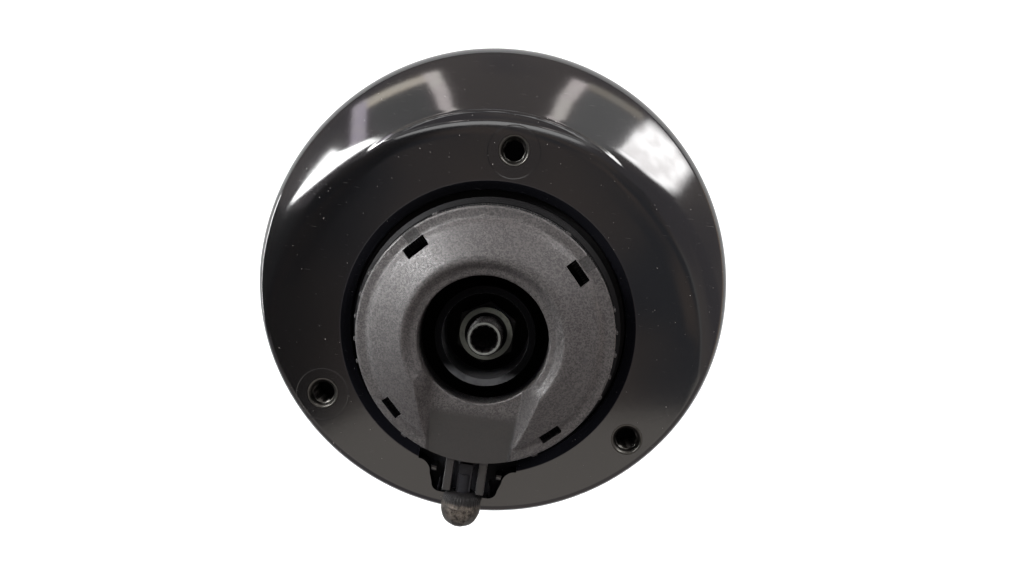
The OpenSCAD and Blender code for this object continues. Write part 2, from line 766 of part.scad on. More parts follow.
module bellows() {
    ro = neck_r + gap + bellows_t;
    ri = neck_r + gap;
    n = 16;
    end_r = roll_neck_r + gap;
    bend_z = roll_top_z - roll_neck_h;
    color("#151515") rotate_extrude() polygon(concat(
        [[ri, clamp_zone_top], [ro, clamp_zone_top]],
        arc([fold_mid_r, fold_z], fold_r, 0, -180, n),
        [[fold_in_r, bend_z - roll_shoulder_h - gap], [end_r, bend_z - gap], [end_r, roll_top_z],
            [end_r + bellows_t, roll_top_z], [end_r + bellows_t, bend_z],
            [fold_in_r + bellows_t, bend_z - roll_shoulder_h]],
        arc([fold_mid_r, fold_z], fold_r - bellows_t, -180, 0, n)));
}

module bellows_clamp() {
    color("#2a2a2a") tube(guide_ro + clamp_t, guide_ro, clamp_zone_top - clamp_w, clamp_zone_top - 0.5);
}

module gaiter() {
    top_r = guide_ro + gap;
    foot_r = tube_r + gap;
    clear_z = roll_foot_z - support_t - 4;
    collar_z = gaiter_foot_z + 12;
    start_z = guide_foot_tube_z - 2;
    wide_r = roll_r + 3;
    pitch = (start_z - collar_z) / fold_count;
    upper_slope = (top_r - wide_r - fold_h) / (start_z - clear_z);
    lower_slope = (wide_r - foot_r - 2) / (clear_z - collar_z);
    function valley(z) = wide_r + (z - clear_z) * (z > clear_z ? upper_slope : lower_slope);
    folds = [for (i = [0:fold_count - 1])
        let (ridge_z = start_z - pitch * (i + 1 / 4), valley_z = ridge_z - pitch / 2)
        each [[valley(ridge_z) + fold_h, ridge_z], [valley(valley_z), valley_z]]];
    outer = concat([[top_r, gaiter_top_z], [top_r, start_z]], folds,
        [[foot_r, collar_z - 2], [foot_r, gaiter_foot_z]]);
    grown = [for (p = outer) p + [gaiter_t, 0]];
    last = len(outer) - 1;
    color("#181818") rotate_extrude()
        polygon(concat(outer, [for (i = [last:-1:0]) grown[i]]));
}

module gaiter_clamp_top() {
    r = guide_ro + gap + gaiter_t;
    color("silver") tube(r + gaiter_band_t, r, guide_foot_tube_z + 2, guide_foot_tube_z + 2 + band_w);
}

module gaiter_clamp_foot() {
    r = tube_r + gap + gaiter_t;
    color("silver") tube(r + gaiter_band_t, r, gaiter_foot_z + 1, gaiter_foot_z + 1 + band_w);
}

module damper_tube() {
    color("#1b1b1b") {
        tube(tube_r, tube_bore_r, tube_foot_z, tube_top_z);
        tube(tube_bore_r + 0.5, rod_d / 2 + 6, seal_top_z, tube_top_z);
        translate([0, 0, tube_foot_z]) cylinder(r = tube_bore_r + 0.5, h = tube_floor_t);
    }
}

module tube_cap() {
    ri = tube_r + run_gap;
    color("#b0b0a8") {
        tube(ri + 2.5, rod_d / 2 + 1, tube_top_z, tube_cap_top_z);
        tube(ri + 2.5, ri, tube_cap_top_z - tube_cap_h, tube_top_z + 1);
    }
}

module rod_guide() {
    color("#909090") {
        tube(tube_bore_r - run_gap, rod_d / 2 + run_gap, cylinder_top_z, guide_top_z);
        tube(cylinder_r - run_gap, rod_d / 2 + run_gap, guide_foot_z, cylinder_top_z + 1);
    }
}

module rod_seal() {
    color("black") tube(tube_bore_r - run_gap, rod_d / 2 + run_gap, guide_top_z, seal_top_z);
}

module inner_tube() {
    color("silver") tube(cylinder_r + cylinder_wall, cylinder_r, cylinder_foot_z, cylinder_top_z);
}

module base_valve() {
    floor_z = tube_foot_z + tube_floor_t;
    ro = cylinder_r + cylinder_wall;
    color("#777777") difference() {
        translate([0, 0, floor_z]) cylinder(r = ro, h = valve_h);
        translate([0, 0, floor_z - 1]) cylinder(r = ro - 5, h = 6);
        for (i = [0:3]) rotate(i * 90) translate([0, -3, floor_z - 1]) cube([40, 6, 5]);
        for (i = [0:5]) rotate(i * 60) translate([ro / 2, 0, floor_z]) cylinder(r = 1.5, h = valve_h + 1);
    }
}

module rolling_piston() {
    bore_r = tube_r + gap;
    sleeve_r = bore_r + 4;
    groove = 2.6;
    shoulder_z = roll_top_z - roll_neck_h - roll_shoulder_h;
    color("#1e1e1e") difference() {
        rotate_extrude() polygon([
            [bore_r, roll_top_z], [roll_neck_r, roll_top_z],
            [roll_neck_r, shoulder_z + roll_shoulder_h], [roll_r, shoulder_z],
            [roll_r, roll_foot_z], [bore_r, roll_foot_z], [bore_r, roll_foot_z + 4],
            [roll_r - roll_wall, roll_foot_z + 4], [roll_r - roll_wall, shoulder_z - 1],
            [roll_neck_r - roll_wall, shoulder_z + roll_shoulder_h - 1],
            [roll_neck_r - roll_wall, roll_top_z - 4], [sleeve_r, roll_top_z - 4],
            [sleeve_r, roll_top_z - roll_sleeve_h], [bore_r, roll_top_z - roll_sleeve_h]]);
        for (z = [seal_first, seal_first + seal_step])
            tube(bore_r + groove, bore_r - 1, roll_top_z - z - seal_groove_h, roll_top_z - z);
    }
}

module piston_o_rings() {
    color("black") for (z = [seal_first, seal_first + seal_step])
        tube(tube_r + gap + 2.5, tube_r + run_gap,
            roll_top_z - z - seal_groove_h + 0.1, roll_top_z - z - 0.1);
}

module piston_clamp() {
    r = roll_neck_r + gap + bellows_t;
    color("#2a2a2a") tube(r + clamp_t, r, roll_top_z - clamp_w - 1, roll_top_z - 1);
}

module support_ring() {
    color("#2b2b2b") tube(roll_r - 4, tube_r, roll_foot_z - support_t, roll_foot_z);
}

module lower_eye() {
    saddle_r = tube_r - 3;
    color("#2b2b2b") difference() {
        union() {
            translate([-eye_w / 2, 0, eye_z]) rotate([0, 90, 0]) cylinder(r = eye_d / 2, h = eye_w);
            translate([0, 0, eye_z]) cylinder(r = saddle_r, h = eye_drop);
        }
        translate([-eye_w, 0, eye_z]) rotate([0, 90, 0]) cylinder(r = bush_d / 2, h = 2 * eye_w);
    }
}

// Tube along X round the lower bolt's axis
module cross_tube(ro, ri, l) {
    translate([-l / 2, 0, eye_z]) rotate([0, 90, 0]) difference() {
        cylinder(r = ro, h = l);
        translate([0, 0, -1]) cylinder(r = ri, h = l + 2);
    }
}

module bush_outer() {
    color("gray") cross_tube(bush_d / 2, bush_d / 2 - bush_wall, eye_w - 2);
}

module bush_rubber() {
    color("#111111") cross_tube(bush_d / 2 - bush_wall, sleeve_d / 2 + run_gap, eye_w - 1);
}

module bush_sleeve() {
    color("silver") cross_tube(sleeve_d / 2, sleeve_bore_d / 2, sleeve_l);
}

top_housing();
lower_housing();
threaded_inserts();
mount_hub();
hub_o_ring();
cap_gasket();
centre_cap();
mount_rubber();
mount_core();
lower_washer();
cup_washer();
rod_nut();
piston_rod();
damper_piston();
piston_band();
piston_nut();
rebound_stop();
bump_stop_cup();
bump_stop();
air_fitting();
fitting_cap();
guide_tube();
bellows();
bellows_clamp();
gaiter();
gaiter_clamp_top();
damper_tube();
tube_cap();
rod_guide();
rod_seal();
inner_tube();
base_valve();
rolling_piston();
piston_clamp();
piston_o_rings();
support_ring();
gaiter_clamp_foot();
lower_eye();
bush_outer();
bush_rubber();
bush_sleeve();
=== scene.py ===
import json
import math

import bpy
import numpy as np
from mathutils import Matrix, Vector


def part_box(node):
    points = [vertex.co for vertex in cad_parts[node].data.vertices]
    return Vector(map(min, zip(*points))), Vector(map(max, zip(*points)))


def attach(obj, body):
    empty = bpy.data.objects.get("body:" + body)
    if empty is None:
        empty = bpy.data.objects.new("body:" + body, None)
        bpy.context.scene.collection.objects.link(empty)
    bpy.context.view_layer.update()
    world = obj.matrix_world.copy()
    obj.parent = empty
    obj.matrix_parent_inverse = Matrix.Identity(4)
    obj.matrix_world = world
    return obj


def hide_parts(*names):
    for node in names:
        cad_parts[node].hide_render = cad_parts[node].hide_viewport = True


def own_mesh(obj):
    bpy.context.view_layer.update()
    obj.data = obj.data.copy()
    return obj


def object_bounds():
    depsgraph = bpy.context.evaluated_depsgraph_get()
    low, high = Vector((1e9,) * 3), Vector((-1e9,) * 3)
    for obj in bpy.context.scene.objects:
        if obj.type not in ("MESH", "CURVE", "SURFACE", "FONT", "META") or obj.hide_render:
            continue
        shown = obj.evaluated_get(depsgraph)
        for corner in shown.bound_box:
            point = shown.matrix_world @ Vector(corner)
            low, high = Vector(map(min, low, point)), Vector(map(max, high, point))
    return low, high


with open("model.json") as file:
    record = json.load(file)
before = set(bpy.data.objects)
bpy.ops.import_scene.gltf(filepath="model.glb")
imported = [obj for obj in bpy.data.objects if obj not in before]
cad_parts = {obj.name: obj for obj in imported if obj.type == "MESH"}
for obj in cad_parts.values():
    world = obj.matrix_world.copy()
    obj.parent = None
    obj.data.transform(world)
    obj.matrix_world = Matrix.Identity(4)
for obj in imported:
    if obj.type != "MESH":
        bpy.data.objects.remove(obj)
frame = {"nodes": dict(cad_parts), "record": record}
cad_box = [list(v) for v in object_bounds()]
nodes = frame["nodes"]
scene = bpy.context.scene
MM = 0.001


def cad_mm(node):
    """Box of a CAD node in millimetres: lowest and highest corner."""
    return [[c / MM for c in corner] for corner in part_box(node)]


# Camera at the photograph's viewing angle

SENSOR_MM = 36.0
FOCAL_PX, FRAME_PX = 1000, 1024
CAMERA_PLACE = (0.01076, 0.06052, 0.40891)
CAMERA_TURN = ((0.98865, -0.15005, 0.00799),
               (0.14846, 0.98361, 0.10234),
               (-0.02321, -0.09999, 0.99472))


def make_camera():
    """Camera with the photograph's place, turn and field of view."""
    cam = bpy.data.cameras.new("camera")
    cam.sensor_fit = "HORIZONTAL"
    cam.sensor_width = SENSOR_MM
    cam.lens = SENSOR_MM * FOCAL_PX / FRAME_PX
    cam.clip_start = 0.01
    cam.clip_end = 20
    obj = bpy.data.objects.new("camera", cam)
    scene.collection.objects.link(obj)
    obj.matrix_world = Matrix.Translation(CAMERA_PLACE) @ Matrix(CAMERA_TURN).to_4x4()
    scene.camera = obj


# Node helpers

class Tree:
    """A node tree with short calls for the nodes that the materials share.

    Sizes and distances ending in _mm are millimetres; place() gives metres.
    """

    def __init__(self, tree):
        self.tree = tree
        self.coord = None

    def add(self, kind, **props):
        n = self.tree.nodes.new(kind)
        for k, v in props.items():
            setattr(n, k, v)
        return n

    def link(self, a, b):
        self.tree.links.new(a, b)

    def put(self, socket, value):
        if hasattr(value, "is_linked") or hasattr(value, "links"):
            self.link(value, socket)
        else:
            socket.default_value = value

    def place(self):
        if self.coord is None:
            self.coord = self.add("ShaderNodeTexCoord").outputs["Object"]
        return self.coord

    def mapped(self, scale, turn=(0, 0, 0), shift=(0, 0, 0)):
        n = self.add("ShaderNodeMapping")
        self.link(self.place(), n.inputs["Vector"])
        n.inputs["Scale"].default_value = scale
        n.inputs["Rotation"].default_value = turn
        n.inputs["Location"].default_value = shift
        return n.outputs["Vector"]

    def noise(self, size_mm, detail=3.0, rough=0.55, vector=None):
        n = self.add("ShaderNodeTexNoise")
        self.link(vector or self.place(), n.inputs["Vector"])
        n.inputs["Scale"].default_value = 1000.0 / size_mm if vector is None else 1.0
        n.inputs["Detail"].default_value = detail
        n.inputs["Roughness"].default_value = rough
        return n.outputs["Fac"]

    def cells(self, size_mm, output="Distance"):
        n = self.add("ShaderNodeTexVoronoi")
        self.link(self.place(), n.inputs["Vector"])
        n.inputs["Scale"].default_value = 1000.0 / size_mm
        return n.outputs[output]

    def math(self, op, a, b=0.0, c=0.0, clamp=False):
        n = self.add("ShaderNodeMath", operation=op, use_clamp=clamp)
        self.put(n.inputs[0], a)
        self.put(n.inputs[1], b)
        self.put(n.inputs[2], c)
        return n.outputs[0]

    def times(self, a, b):
        return self.math("MULTIPLY", a, b)

    def larger(self, a, b):
        return self.math("MAXIMUM", a, b)

    def scaled(self, value, factor, add, clamp=False):
        return self.math("MULTIPLY_ADD", value, factor, add, clamp)

    def length(self, x, y):
        return self.math("SQRT", self.math("ADD", self.times(x, x), self.times(y, y)))

    def step(self, value, low, high, to_low=0.0, to_high=1.0):
        n = self.add("ShaderNodeMapRange", interpolation_type="SMOOTHSTEP")
        self.put(n.inputs["Value"], value)
        n.inputs["From Min"].default_value = low
        n.inputs["From Max"].default_value = high
        n.inputs["To Min"].default_value = to_low
        n.inputs["To Max"].default_value = to_high
        return n.outputs["Result"]

    def mix(self, fac, a, b):
        n = self.add("ShaderNodeMix", data_type="RGBA")
        self.put(n.inputs[0], fac)
        self.put(n.inputs[6], (*a, 1.0) if isinstance(a, tuple) else a)
        self.put(n.inputs[7], (*b, 1.0) if isinstance(b, tuple) else b)
        return n.outputs[2]

    def bump(self, height, distance_mm, strength=1.0, under=None):
        n = self.add("ShaderNodeBump")
        n.inputs["Strength"].default_value = strength
        n.inputs["Distance"].default_value = distance_mm * MM
        self.put(n.inputs["Height"], height)
        if under is not None:
            self.link(under, n.inputs["Normal"])
        return n.outputs["Normal"]

    def split(self, vector):
        n = self.add("ShaderNodeSeparateXYZ")
        self.link(vector, n.inputs[0])
        return n.outputs


# Materials: coordinates in the masks are metres, grain and bump sizes millimetres

DUST_GREY = (0.30, 0.28, 0.26)
GROOVE_BLACK = (0.007, 0.007, 0.0095)
GROOVE_R = 61.4     # edge of the dull groove round the cap
WITNESS_R = 10.8    # ring that the mould leaves round a thread
TURNED_MM = 0.35    # pitch of turning marks
GASKET_RIBS = 260


def material(name, metallic=0.0, specular=0.5):
    """New material, its node tree and its shader."""
    m = bpy.data.materials.new(name)
    m.use_nodes = True
    b = m.node_tree.nodes["Principled BSDF"]
    b.inputs["Metallic"].default_value = metallic
    b.inputs["Specular IOR Level"].default_value = specular
    return m, Tree(m.node_tree), b


def finish(t, b, colour, rough, normal):
    """Links the three results that every material of the object ends with."""
    t.link(colour, b.inputs["Base Color"])
    t.link(rough, b.inputs["Roughness"])
    t.link(normal, b.inputs["Normal"])


def tint(colour, factor, add=0.0):
    """Colour times a factor, plus an even amount."""
    return tuple(c * factor + add for c in colour)


def plan_radius(t):
    """Distance from the strut's axis, and the object's coordinates, in metres."""
    xyz = t.split(t.place())
    return t.length(xyz[0], xyz[1]), xyz


def ring_line(t, x, y, r, half):
    """Mask of a thin circle in plan round (x, y), sizes in millimetres."""
    xyz = t.split(t.place())
    far = t.length(t.math("SUBTRACT", xyz[0], x * MM), t.math("SUBTRACT", xyz[1], y * MM))
    off = t.math("ABSOLUTE", t.math("SUBTRACT", far, r * MM))
    return t.step(off, 0.0, half * MM, 1.0, 0.0)


def dust(t, size_mm, amount):
    """Mask of small specks: a few cells keep a dot in their middle."""
    small = t.step(t.cells(size_mm), 0.05, 0.12, 1.0, 0.0)
    few = t.step(t.noise(size_mm * 2.3, 2.0), 1.0 - amount, 1.0 - amount + 0.03)
    return t.times(small, few)


def scratches(t, turn, length_mm, width_mm, amount):
    """Mask of thin straight marks along one direction."""
    v = t.mapped((1000.0 / length_mm, 1000.0 / width_mm, 1000.0 / length_mm), (0, 0, turn))
    return t.step(t.noise(1, 1.0, 0.4, v), 0.80 - amount, 0.84 - amount)


def gloss_black(name, base, rough, witness=(), groove=0.0):
    """Glossy moulding with dust, marks, witness rings and a dull groove inside one radius."""
    m, t, b = material(name)
    fine = t.noise(1.6, 4.0)
    specks = t.larger(dust(t, 1.7, 0.40), dust(t, 2.4, 0.38))
    marks = t.larger(scratches(t, 0.9, 6, 0.18, 0.02), scratches(t, 2.3, 5, 0.16, 0.015))
    paler_tone = t.larger(t.times(specks, 0.75), t.times(marks, 0.2))
    colour = t.mix(t.noise(60, 2.0), tint(base, 0.8), tint(base, 1.25))
    if groove:
        dull = t.step(plan_radius(t)[0], (groove - 0.8) * MM, (groove + 0.8) * MM, 1.0, 0.0)
        colour = t.mix(dull, colour, GROOVE_BLACK)
    normal = t.bump(t.noise(1.9, 2.0), 0.004, 0.5, t.bump(fine, 0.002, 0.4))
    normal = t.bump(t.noise(5.0, 2.0), 0.012, 0.5, normal)
    for x, y in witness:
        normal = t.bump(ring_line(t, x, y, WITNESS_R, 0.22), -0.06, 0.7, normal)
    rough = t.scaled(paler_tone, 0.4, t.scaled(fine, 0.05, rough - 0.02), True)
    finish(t, b, t.mix(paler_tone, colour, DUST_GREY), rough, normal)
    return m


def moulded(name, base, rough, grain_mm=0.5, grain=0.03, spread=0.2, specular=0.5):
    """Matte moulding or casting with a fine grain and a little dust."""
    m, t, b = material(name, specular=specular)
    fine = t.noise(grain_mm, 5.0, 0.7)
    colour = t.mix(t.noise(25, 3.0), tint(base, 1 - spread), tint(base, 1 + spread))
    colour = t.mix(t.times(fine, 0.35), colour, tint(base, 1.7))
    colour = t.mix(t.times(dust(t, 2.1, 0.4), 0.5), colour, tint(base, 0.4, 0.25))
    finish(t, b, colour, t.scaled(fine, 0.16, rough - 0.08, True), t.bump(fine, grain, 0.8))
    return m


def rubber(name, base, rough, specular=0.4):
    """Dull rubber with pale bloom in patches."""
    m, t, b = material(name, specular=specular)
    bloom = t.step(t.noise(14, 5.0), 0.45, 0.75)
    colour = t.mix(t.times(bloom, 0.45), base, tint(base, 4.0))
    skin = t.bump(t.noise(0.35, 4.0, 0.7), 0.05, 0.7)
    finish(t, b, colour, t.scaled(bloom, 0.14, rough - 0.06, True), skin)
    return m


def steel(name, base, rough, stain=(0.16, 0.13, 0.1), stain_share=0.25):
    """Turned metal: fine rings round the Z axis, with stains."""
    m, t, b = material(name, metallic=1.0)
    radius, xyz = plan_radius(t)
    along = t.times(t.math("ADD", radius, xyz[2]), 2 * math.pi / (TURNED_MM * MM))
    cloud = t.noise(7, 5.0, 0.6)
    mask = t.times(t.step(cloud, 0.5, 0.72), stain_share)
    light = t.mix(t.noise(1.2, 3.0), tint(base, 0.8), tint(base, 1.15))
    normal = t.bump(t.math("SINE", along), 0.004, 0.6, t.bump(cloud, 0.02, 0.4))
    finish(t, b, t.mix(mask, light, stain), t.scaled(cloud, 0.25, rough - 0.1, True), normal)
    return m


def cap_channel(t, xyz):
    """Mask of the cap's lower channel towards the fitting, left smooth by the tool and painted
    darker as shade.
    """
    wide = t.step(t.math("ABSOLUTE", xyz[0]), 0.0165, 0.018, 1.0, 0.0)
    outside = t.step(xyz[1], -0.034, -0.028, 1.0, 0.0)
    low = t.step(xyz[2], 0.0215, 0.0225, 1.0, 0.0)
    return t.times(t.times(outside, low), wide)


def slot_patches(t):
    """Mask of the dull fields between the two upper slots and the cap's edge."""
    patches = 0.0
    for (angle, _), shift in zip(SLOTS[:2], (0.0007, -0.0012)):
        along = t.split(t.mapped((1, 1, 1), (0, 0, -math.radians(angle)), (0, -shift, 0)))
        across = t.step(t.math("ABSOLUTE", along[1]), 0.0028, 0.0031, 1.0, 0.0)
        patches = t.larger(patches, t.times(t.step(along[0], 0.0466, 0.0469), across))
    return patches


def cap_grain(name, base):
    """Spark-eroded plastic: pits of random depth that glitter where they face a window."""
    m, t, b = material(name, specular=0.45)
    xyz = t.split(t.place())
    pits = t.split(t.cells(0.55, "Color"))
    fine = t.noise(0.45, 2.0, 0.7)
    channel, patches = cap_channel(t, xyz), slot_patches(t)
    skirt = t.step(xyz[2], 0.0182, 0.0192, 1.0, 0.0)
    grain = t.scaled(t.step(pits[0], 0.15, 0.85), 0.85, t.times(fine, 0.15))
    colour = t.mix(t.noise(22, 3.0), tint(base, 0.86), tint(base, 1.14))
    colour = t.mix(0.85, colour, t.mix(grain, tint(base, 0.15), tint(base, 2.2)))
    # Painted shade: the channel and the skirt below the cap's edge are painted darker than the
    # crown.
    colour = t.mix(t.larger(channel, skirt), colour, tint(base, 0.12))
    colour = t.mix(t.times(patches, 0.9), colour, tint(base, 0.35))
    colour = t.mix(t.times(dust(t, 1.9, 0.36), 0.35), colour, (0.3, 0.29, 0.27))
    rough = t.scaled(patches, 0.4, t.scaled(pits[1], 0.3, 0.36))
    rough = t.math("MAXIMUM", t.scaled(channel, -0.12, rough), 0.3, clamp=True)
    deep = t.times(pits[2], t.math("SUBTRACT", 1.0, channel))
    normal = t.bump(deep, 0.13, 1.0, t.bump(fine, 0.04, 0.8, t.bump(patches, -0.4, 0.8)))
    finish(t, b, colour, rough, normal)
    return m


def nut_finish(name):
    """Phosphated nut: black all over but for the bare ring on its collar."""
    m, t, b = material(name, specular=0.08)
    radius, xyz = plan_radius(t)
    cloud = t.noise(2.4, 4.0, 0.6)
    ring = t.times(t.step(radius, 0.0083, 0.0087), t.step(xyz[2], 0.0121, 0.0123))
    ring = t.times(ring, t.step(cloud, 0.2, 0.5, 0.55, 1.0))
    colour = t.mix(ring, (0.0012, 0.0012, 0.0014), (0.075, 0.076, 0.064))
    finish(t, b, colour, t.scaled(cloud, 0.3, 0.4, True), t.bump(cloud, 0.03, 0.6))
    return m


def cup_finish(name):
    """Black cup washer with a painted highlight: a bright crescent on its rim on the side of the
    fitting, and a faint line all round the rim.
    """
    m, t, b = material(name, specular=0.015)
    radius, xyz = plan_radius(t)
    turned = t.math("SINE", t.times(radius, 2 * math.pi / (2 * TURNED_MM * MM)))
    cloud = t.noise(3.5, 3.0)
    # Painted highlight: the rim is painted bright only on the side of the fitting, where it
    # catches the light.
    side = t.step(t.times(xyz[1], -1.0), 0.0125, 0.0170)
    on_rim = t.times(t.step(radius, 0.0170, 0.0173), t.step(xyz[2], 0.0180, 0.0190))
    painted_highlight = t.times(side, t.times(on_rim, t.step(cloud, 0.2, 0.6, 0.6, 1.0)))
    # Painted highlight: a faint thin line all round the rim's edge.
    thin = t.times(t.step(radius, 0.0169, 0.0170), t.step(radius, 0.0171, 0.0172, 1, 0))
    painted_highlight = t.larger(painted_highlight, t.times(thin, 0.4))
    colour = t.mix(painted_highlight, (0.0007, 0.0007, 0.0010), (0.055, 0.055, 0.057))
    finish(t, b, colour, t.scaled(cloud, 0.2, 0.35, True), t.bump(turned, 0.01, 0.5))
    return m


def gasket_finish(name):
    """Rubber gasket with fine upright ribs, grey with dust on the ribs."""
    m, t, b = material(name, specular=0.2)
    xyz = t.split(t.place())
    ribs = t.math("SINE", t.times(t.math("ARCTAN2", xyz[1], xyz[0]), GASKET_RIBS))
    cloud = t.noise(2.0, 4.0, 0.7)
    grey = t.times(t.step(ribs, 0.1, 0.9), t.step(cloud, 0.35, 0.65))
    colour = t.mix(grey, (0.003, 0.003, 0.0035), (0.045, 0.044, 0.043))
    finish(t, b, colour, t.scaled(cloud, 0.2, 0.5, True), t.bump(ribs, 0.15, 0.8))
    return m


def rod_finish(name, top_z):
    """Ground rod whose threaded end is coloured near black with brown specks, bar the ring of its
    end face.
    """
    m, t, b = material(name, specular=0.12)
    radius, xyz = plan_radius(t)
    cloud = t.noise(1.6, 4.0, 0.65)
    specks = t.step(t.noise(0.5, 2.0), 0.62, 0.7)
    end = t.step(xyz[2], 0.004, 0.006)
    face = t.times(t.step(radius, 0.0054, 0.0056),
                   t.step(xyz[2], (top_z - 0.25) * MM, (top_z - 0.1) * MM))
    # The end's colour: near black with brown specks.
    dark_end = t.mix(specks, (0.0015, 0.0013, 0.0013), (0.028, 0.018, 0.014))
    paler_tone = t.mix(cloud, (0.06, 0.062, 0.057), (0.13, 0.132, 0.12))
    t.link(t.math("SUBTRACT", 1.0, end), b.inputs["Metallic"])
    rough = t.scaled(end, 0.3, t.scaled(cloud, 0.1, 0.1), True)
    finish(t, b, t.mix(end, (0.5, 0.5, 0.5), t.mix(face, dark_end, paler_tone)), rough,
           t.bump(cloud, 0.05, 0.6))
    return m


def dust_cap_finish(name):
    """Grey-brown cap: dark knurled collar, and a dome with dust and a painted highlight on its
    upper side.
    """
    m, t, b = material(name, specular=0.07)
    xyz = t.split(t.place())
    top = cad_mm("fitting_cap")[1][2]
    dome = t.step(t.times(xyz[1], -1.0), 0.0700, 0.0716)
    # Painted highlight: the dome is painted lighter towards its top, where it faces the light; the
    # clouds add dust.
    upper = t.step(xyz[2], (top - 3.5) * MM, (top - 0.5) * MM, 0.3, 1.0)
    cloud = t.noise(1.8, 5.0, 0.7)
    fine = t.noise(0.4, 4.0, 0.7)
    collar = t.mix(fine, (0.004, 0.004, 0.0045), (0.016, 0.015, 0.015))
    dust_and_highlight = t.times(t.step(cloud, 0.36, 0.64), upper)
    paler_tone = t.mix(dust_and_highlight, (0.018, 0.0155, 0.013), (0.12, 0.1, 0.083))
    finish(t, b, t.mix(dome, collar, paler_tone), t.scaled(cloud, 0.2, 0.35, True),
           t.bump(cloud, 0.2, 1.0, t.bump(fine, 0.05, 0.8)))
    return m


def make_materials():
    """One material for each slot of the record; the nut and the gasket get their own."""
    # Each row is a function from above and what it takes after the name, in its own order
    finishes = {
        "housing_black": (gloss_black, (0.0042, 0.0042, 0.0046), 0.09,
                          ((0.0, 73.4), (-64.1, -37.6)), GROOVE_R),
        "zinc_steel": (steel, (0.055, 0.054, 0.05), 0.3, (0.02, 0.018, 0.016), 0.6),
        "hub_cast": (moulded, (0.0022, 0.0022, 0.0026), 0.5, 0.6, 0.05, 0.2, 0.06),
        "seal_rubber": (rubber, (0.006, 0.006, 0.007), 0.6, 0.15),
        "cap_plastic": (cap_grain, (0.0215, 0.0185, 0.0180)),
        "bond_rubber": (rubber, (0.001, 0.001, 0.001), 0.8, 0.03),
        "plain_steel": (steel, (0.42, 0.42, 0.42), 0.36),
        "cup_black": (cup_finish,),
        "rod_steel": (rod_finish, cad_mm("piston_rod")[1][2]),
        "band_plastic": (moulded, (0.3, 0.18, 0.1), 0.5),
        "dark_plastic": (moulded, (0.03, 0.03, 0.032), 0.45),
        "stop_foam": (moulded, (0.56, 0.47, 0.24), 0.8, 0.9, 0.2, 0.15, 0.25),
        "fitting_metal": (moulded, (0.009, 0.009, 0.011), 0.45, 0.3, 0.02, 0.2, 0.12),
        "dust_cap_plastic": (dust_cap_finish,),
        # Painted shade for the pocket, its ribs and the thread holes.
        "pocket_shade": (moulded, (0.0036, 0.0036, 0.0052), 0.6, 0.8, 0.05, 0.2, 0.1),
        "tube_black": (gloss_black, (0.012, 0.012, 0.013), 0.42),
        "bellows_rubber": (rubber, (0.02, 0.02, 0.02), 0.6),
        "clamp_black": (gloss_black, (0.02, 0.02, 0.021), 0.35),
    }
    made = {name: make(name, *values) for name, (make, *values) in finishes.items()}
    slots = {s["node"]: s["material_slot"] for s in frame["record"]["subparts"]}
    for name, obj in nodes.items():
        obj.data.materials.clear()
        obj.data.materials.append(made[slots[name]])
    nodes["rod_nut"].data.materials[0] = nut_finish("nut_phosphate")
    nodes["cap_gasket"].data.materials[0] = gasket_finish("gasket_ribs")
    return made


# Mesh helpers: sizes are in millimetres until a mesh is made

def add_object(name, verts, faces, mat, body, smooth_deg=35.0):
    """New piece from millimetres; it rides on its body unless body is None."""
    mesh = bpy.data.meshes.new(name)
    mesh.from_pydata([tuple(c * MM for c in v) for v in verts], [], faces)
    mesh.validate()
    mesh.materials.append(made[mat])
    obj = bpy.data.objects.new(name, mesh)
    scene.collection.objects.link(obj)
    shade(mesh, smooth_deg)
    if body:
        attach(obj, body)
    return obj


def shade(mesh, smooth_deg=35.0):
    """Smooth shading, but for edges sharper than the angle."""
    mesh.polygons.foreach_set("use_smooth", [True] * len(mesh.polygons))
    mesh.set_sharp_from_angle(angle=math.radians(smooth_deg))


def loft(rows, close_rows=False):
    """Quads between rings of points; an open row of rings gets its two ends closed."""
    rows = np.asarray(rows, float)
    k, n = rows.shape[:2]
    a = np.arange(n)
    b = (a + 1) % n
    faces = []
    for i in range(k if close_rows else k - 1):
        j = (i + 1) % k
        faces += np.stack([i * n + a, i * n + b, j * n + b, j * n + a], 1).tolist()
    if not close_rows:
        faces += [a[::-1].tolist(), (a + (k - 1) * n).tolist()]
    return rows.reshape(-1, 3), faces


def join(parts):
    """One list of vertices and faces from several."""
    verts, faces = [], []
    for v, f in parts:
        faces += [[i + len(verts) for i in face] for face in f]
        verts += [tuple(p) for p in v]
    return verts, faces


def full_turn(count):
    """Evenly spaced angles round a circle."""
    return np.linspace(0, 2 * math.pi, count, endpoint=False)


def row(x, y, z):
    """Points from their coordinates, each one number or one for each point."""
    return np.stack(np.broadcast_arrays(x, y, z), 1)


def rings(profile, count):
    """Rings round Z for a list of (r, z)."""
    th = full_turn(count)
    return np.stack([row(r * np.cos(th), r * np.sin(th), z) for r, z in profile])


def outline_solid(name, outline, low, high):
    """Closed prism used as a cutter, from a plan outline."""
    n = len(outline)
    verts = [(x, y, low) for x, y in outline] + [(x, y, high) for x, y in outline]
    faces = [list(range(n))[::-1], list(range(n, 2 * n))]
    faces += [[i, (i + 1) % n, n + (i + 1) % n, n + i] for i in range(n)]
    mesh = bpy.data.meshes.new(name)
    mesh.from_pydata([tuple(c * MM for c in v) for v in verts], [], faces)
    obj = bpy.data.objects.new(name, mesh)
    scene.collection.objects.link(obj)
    return obj


def circle_points(x, y, r, count):
    """Plan outline of a circle round (x, y)."""
    turns = [2 * math.pi * i / count for i in range(count)]
    return [(x + r * math.cos(a), y + r * math.sin(a)) for a in turns]


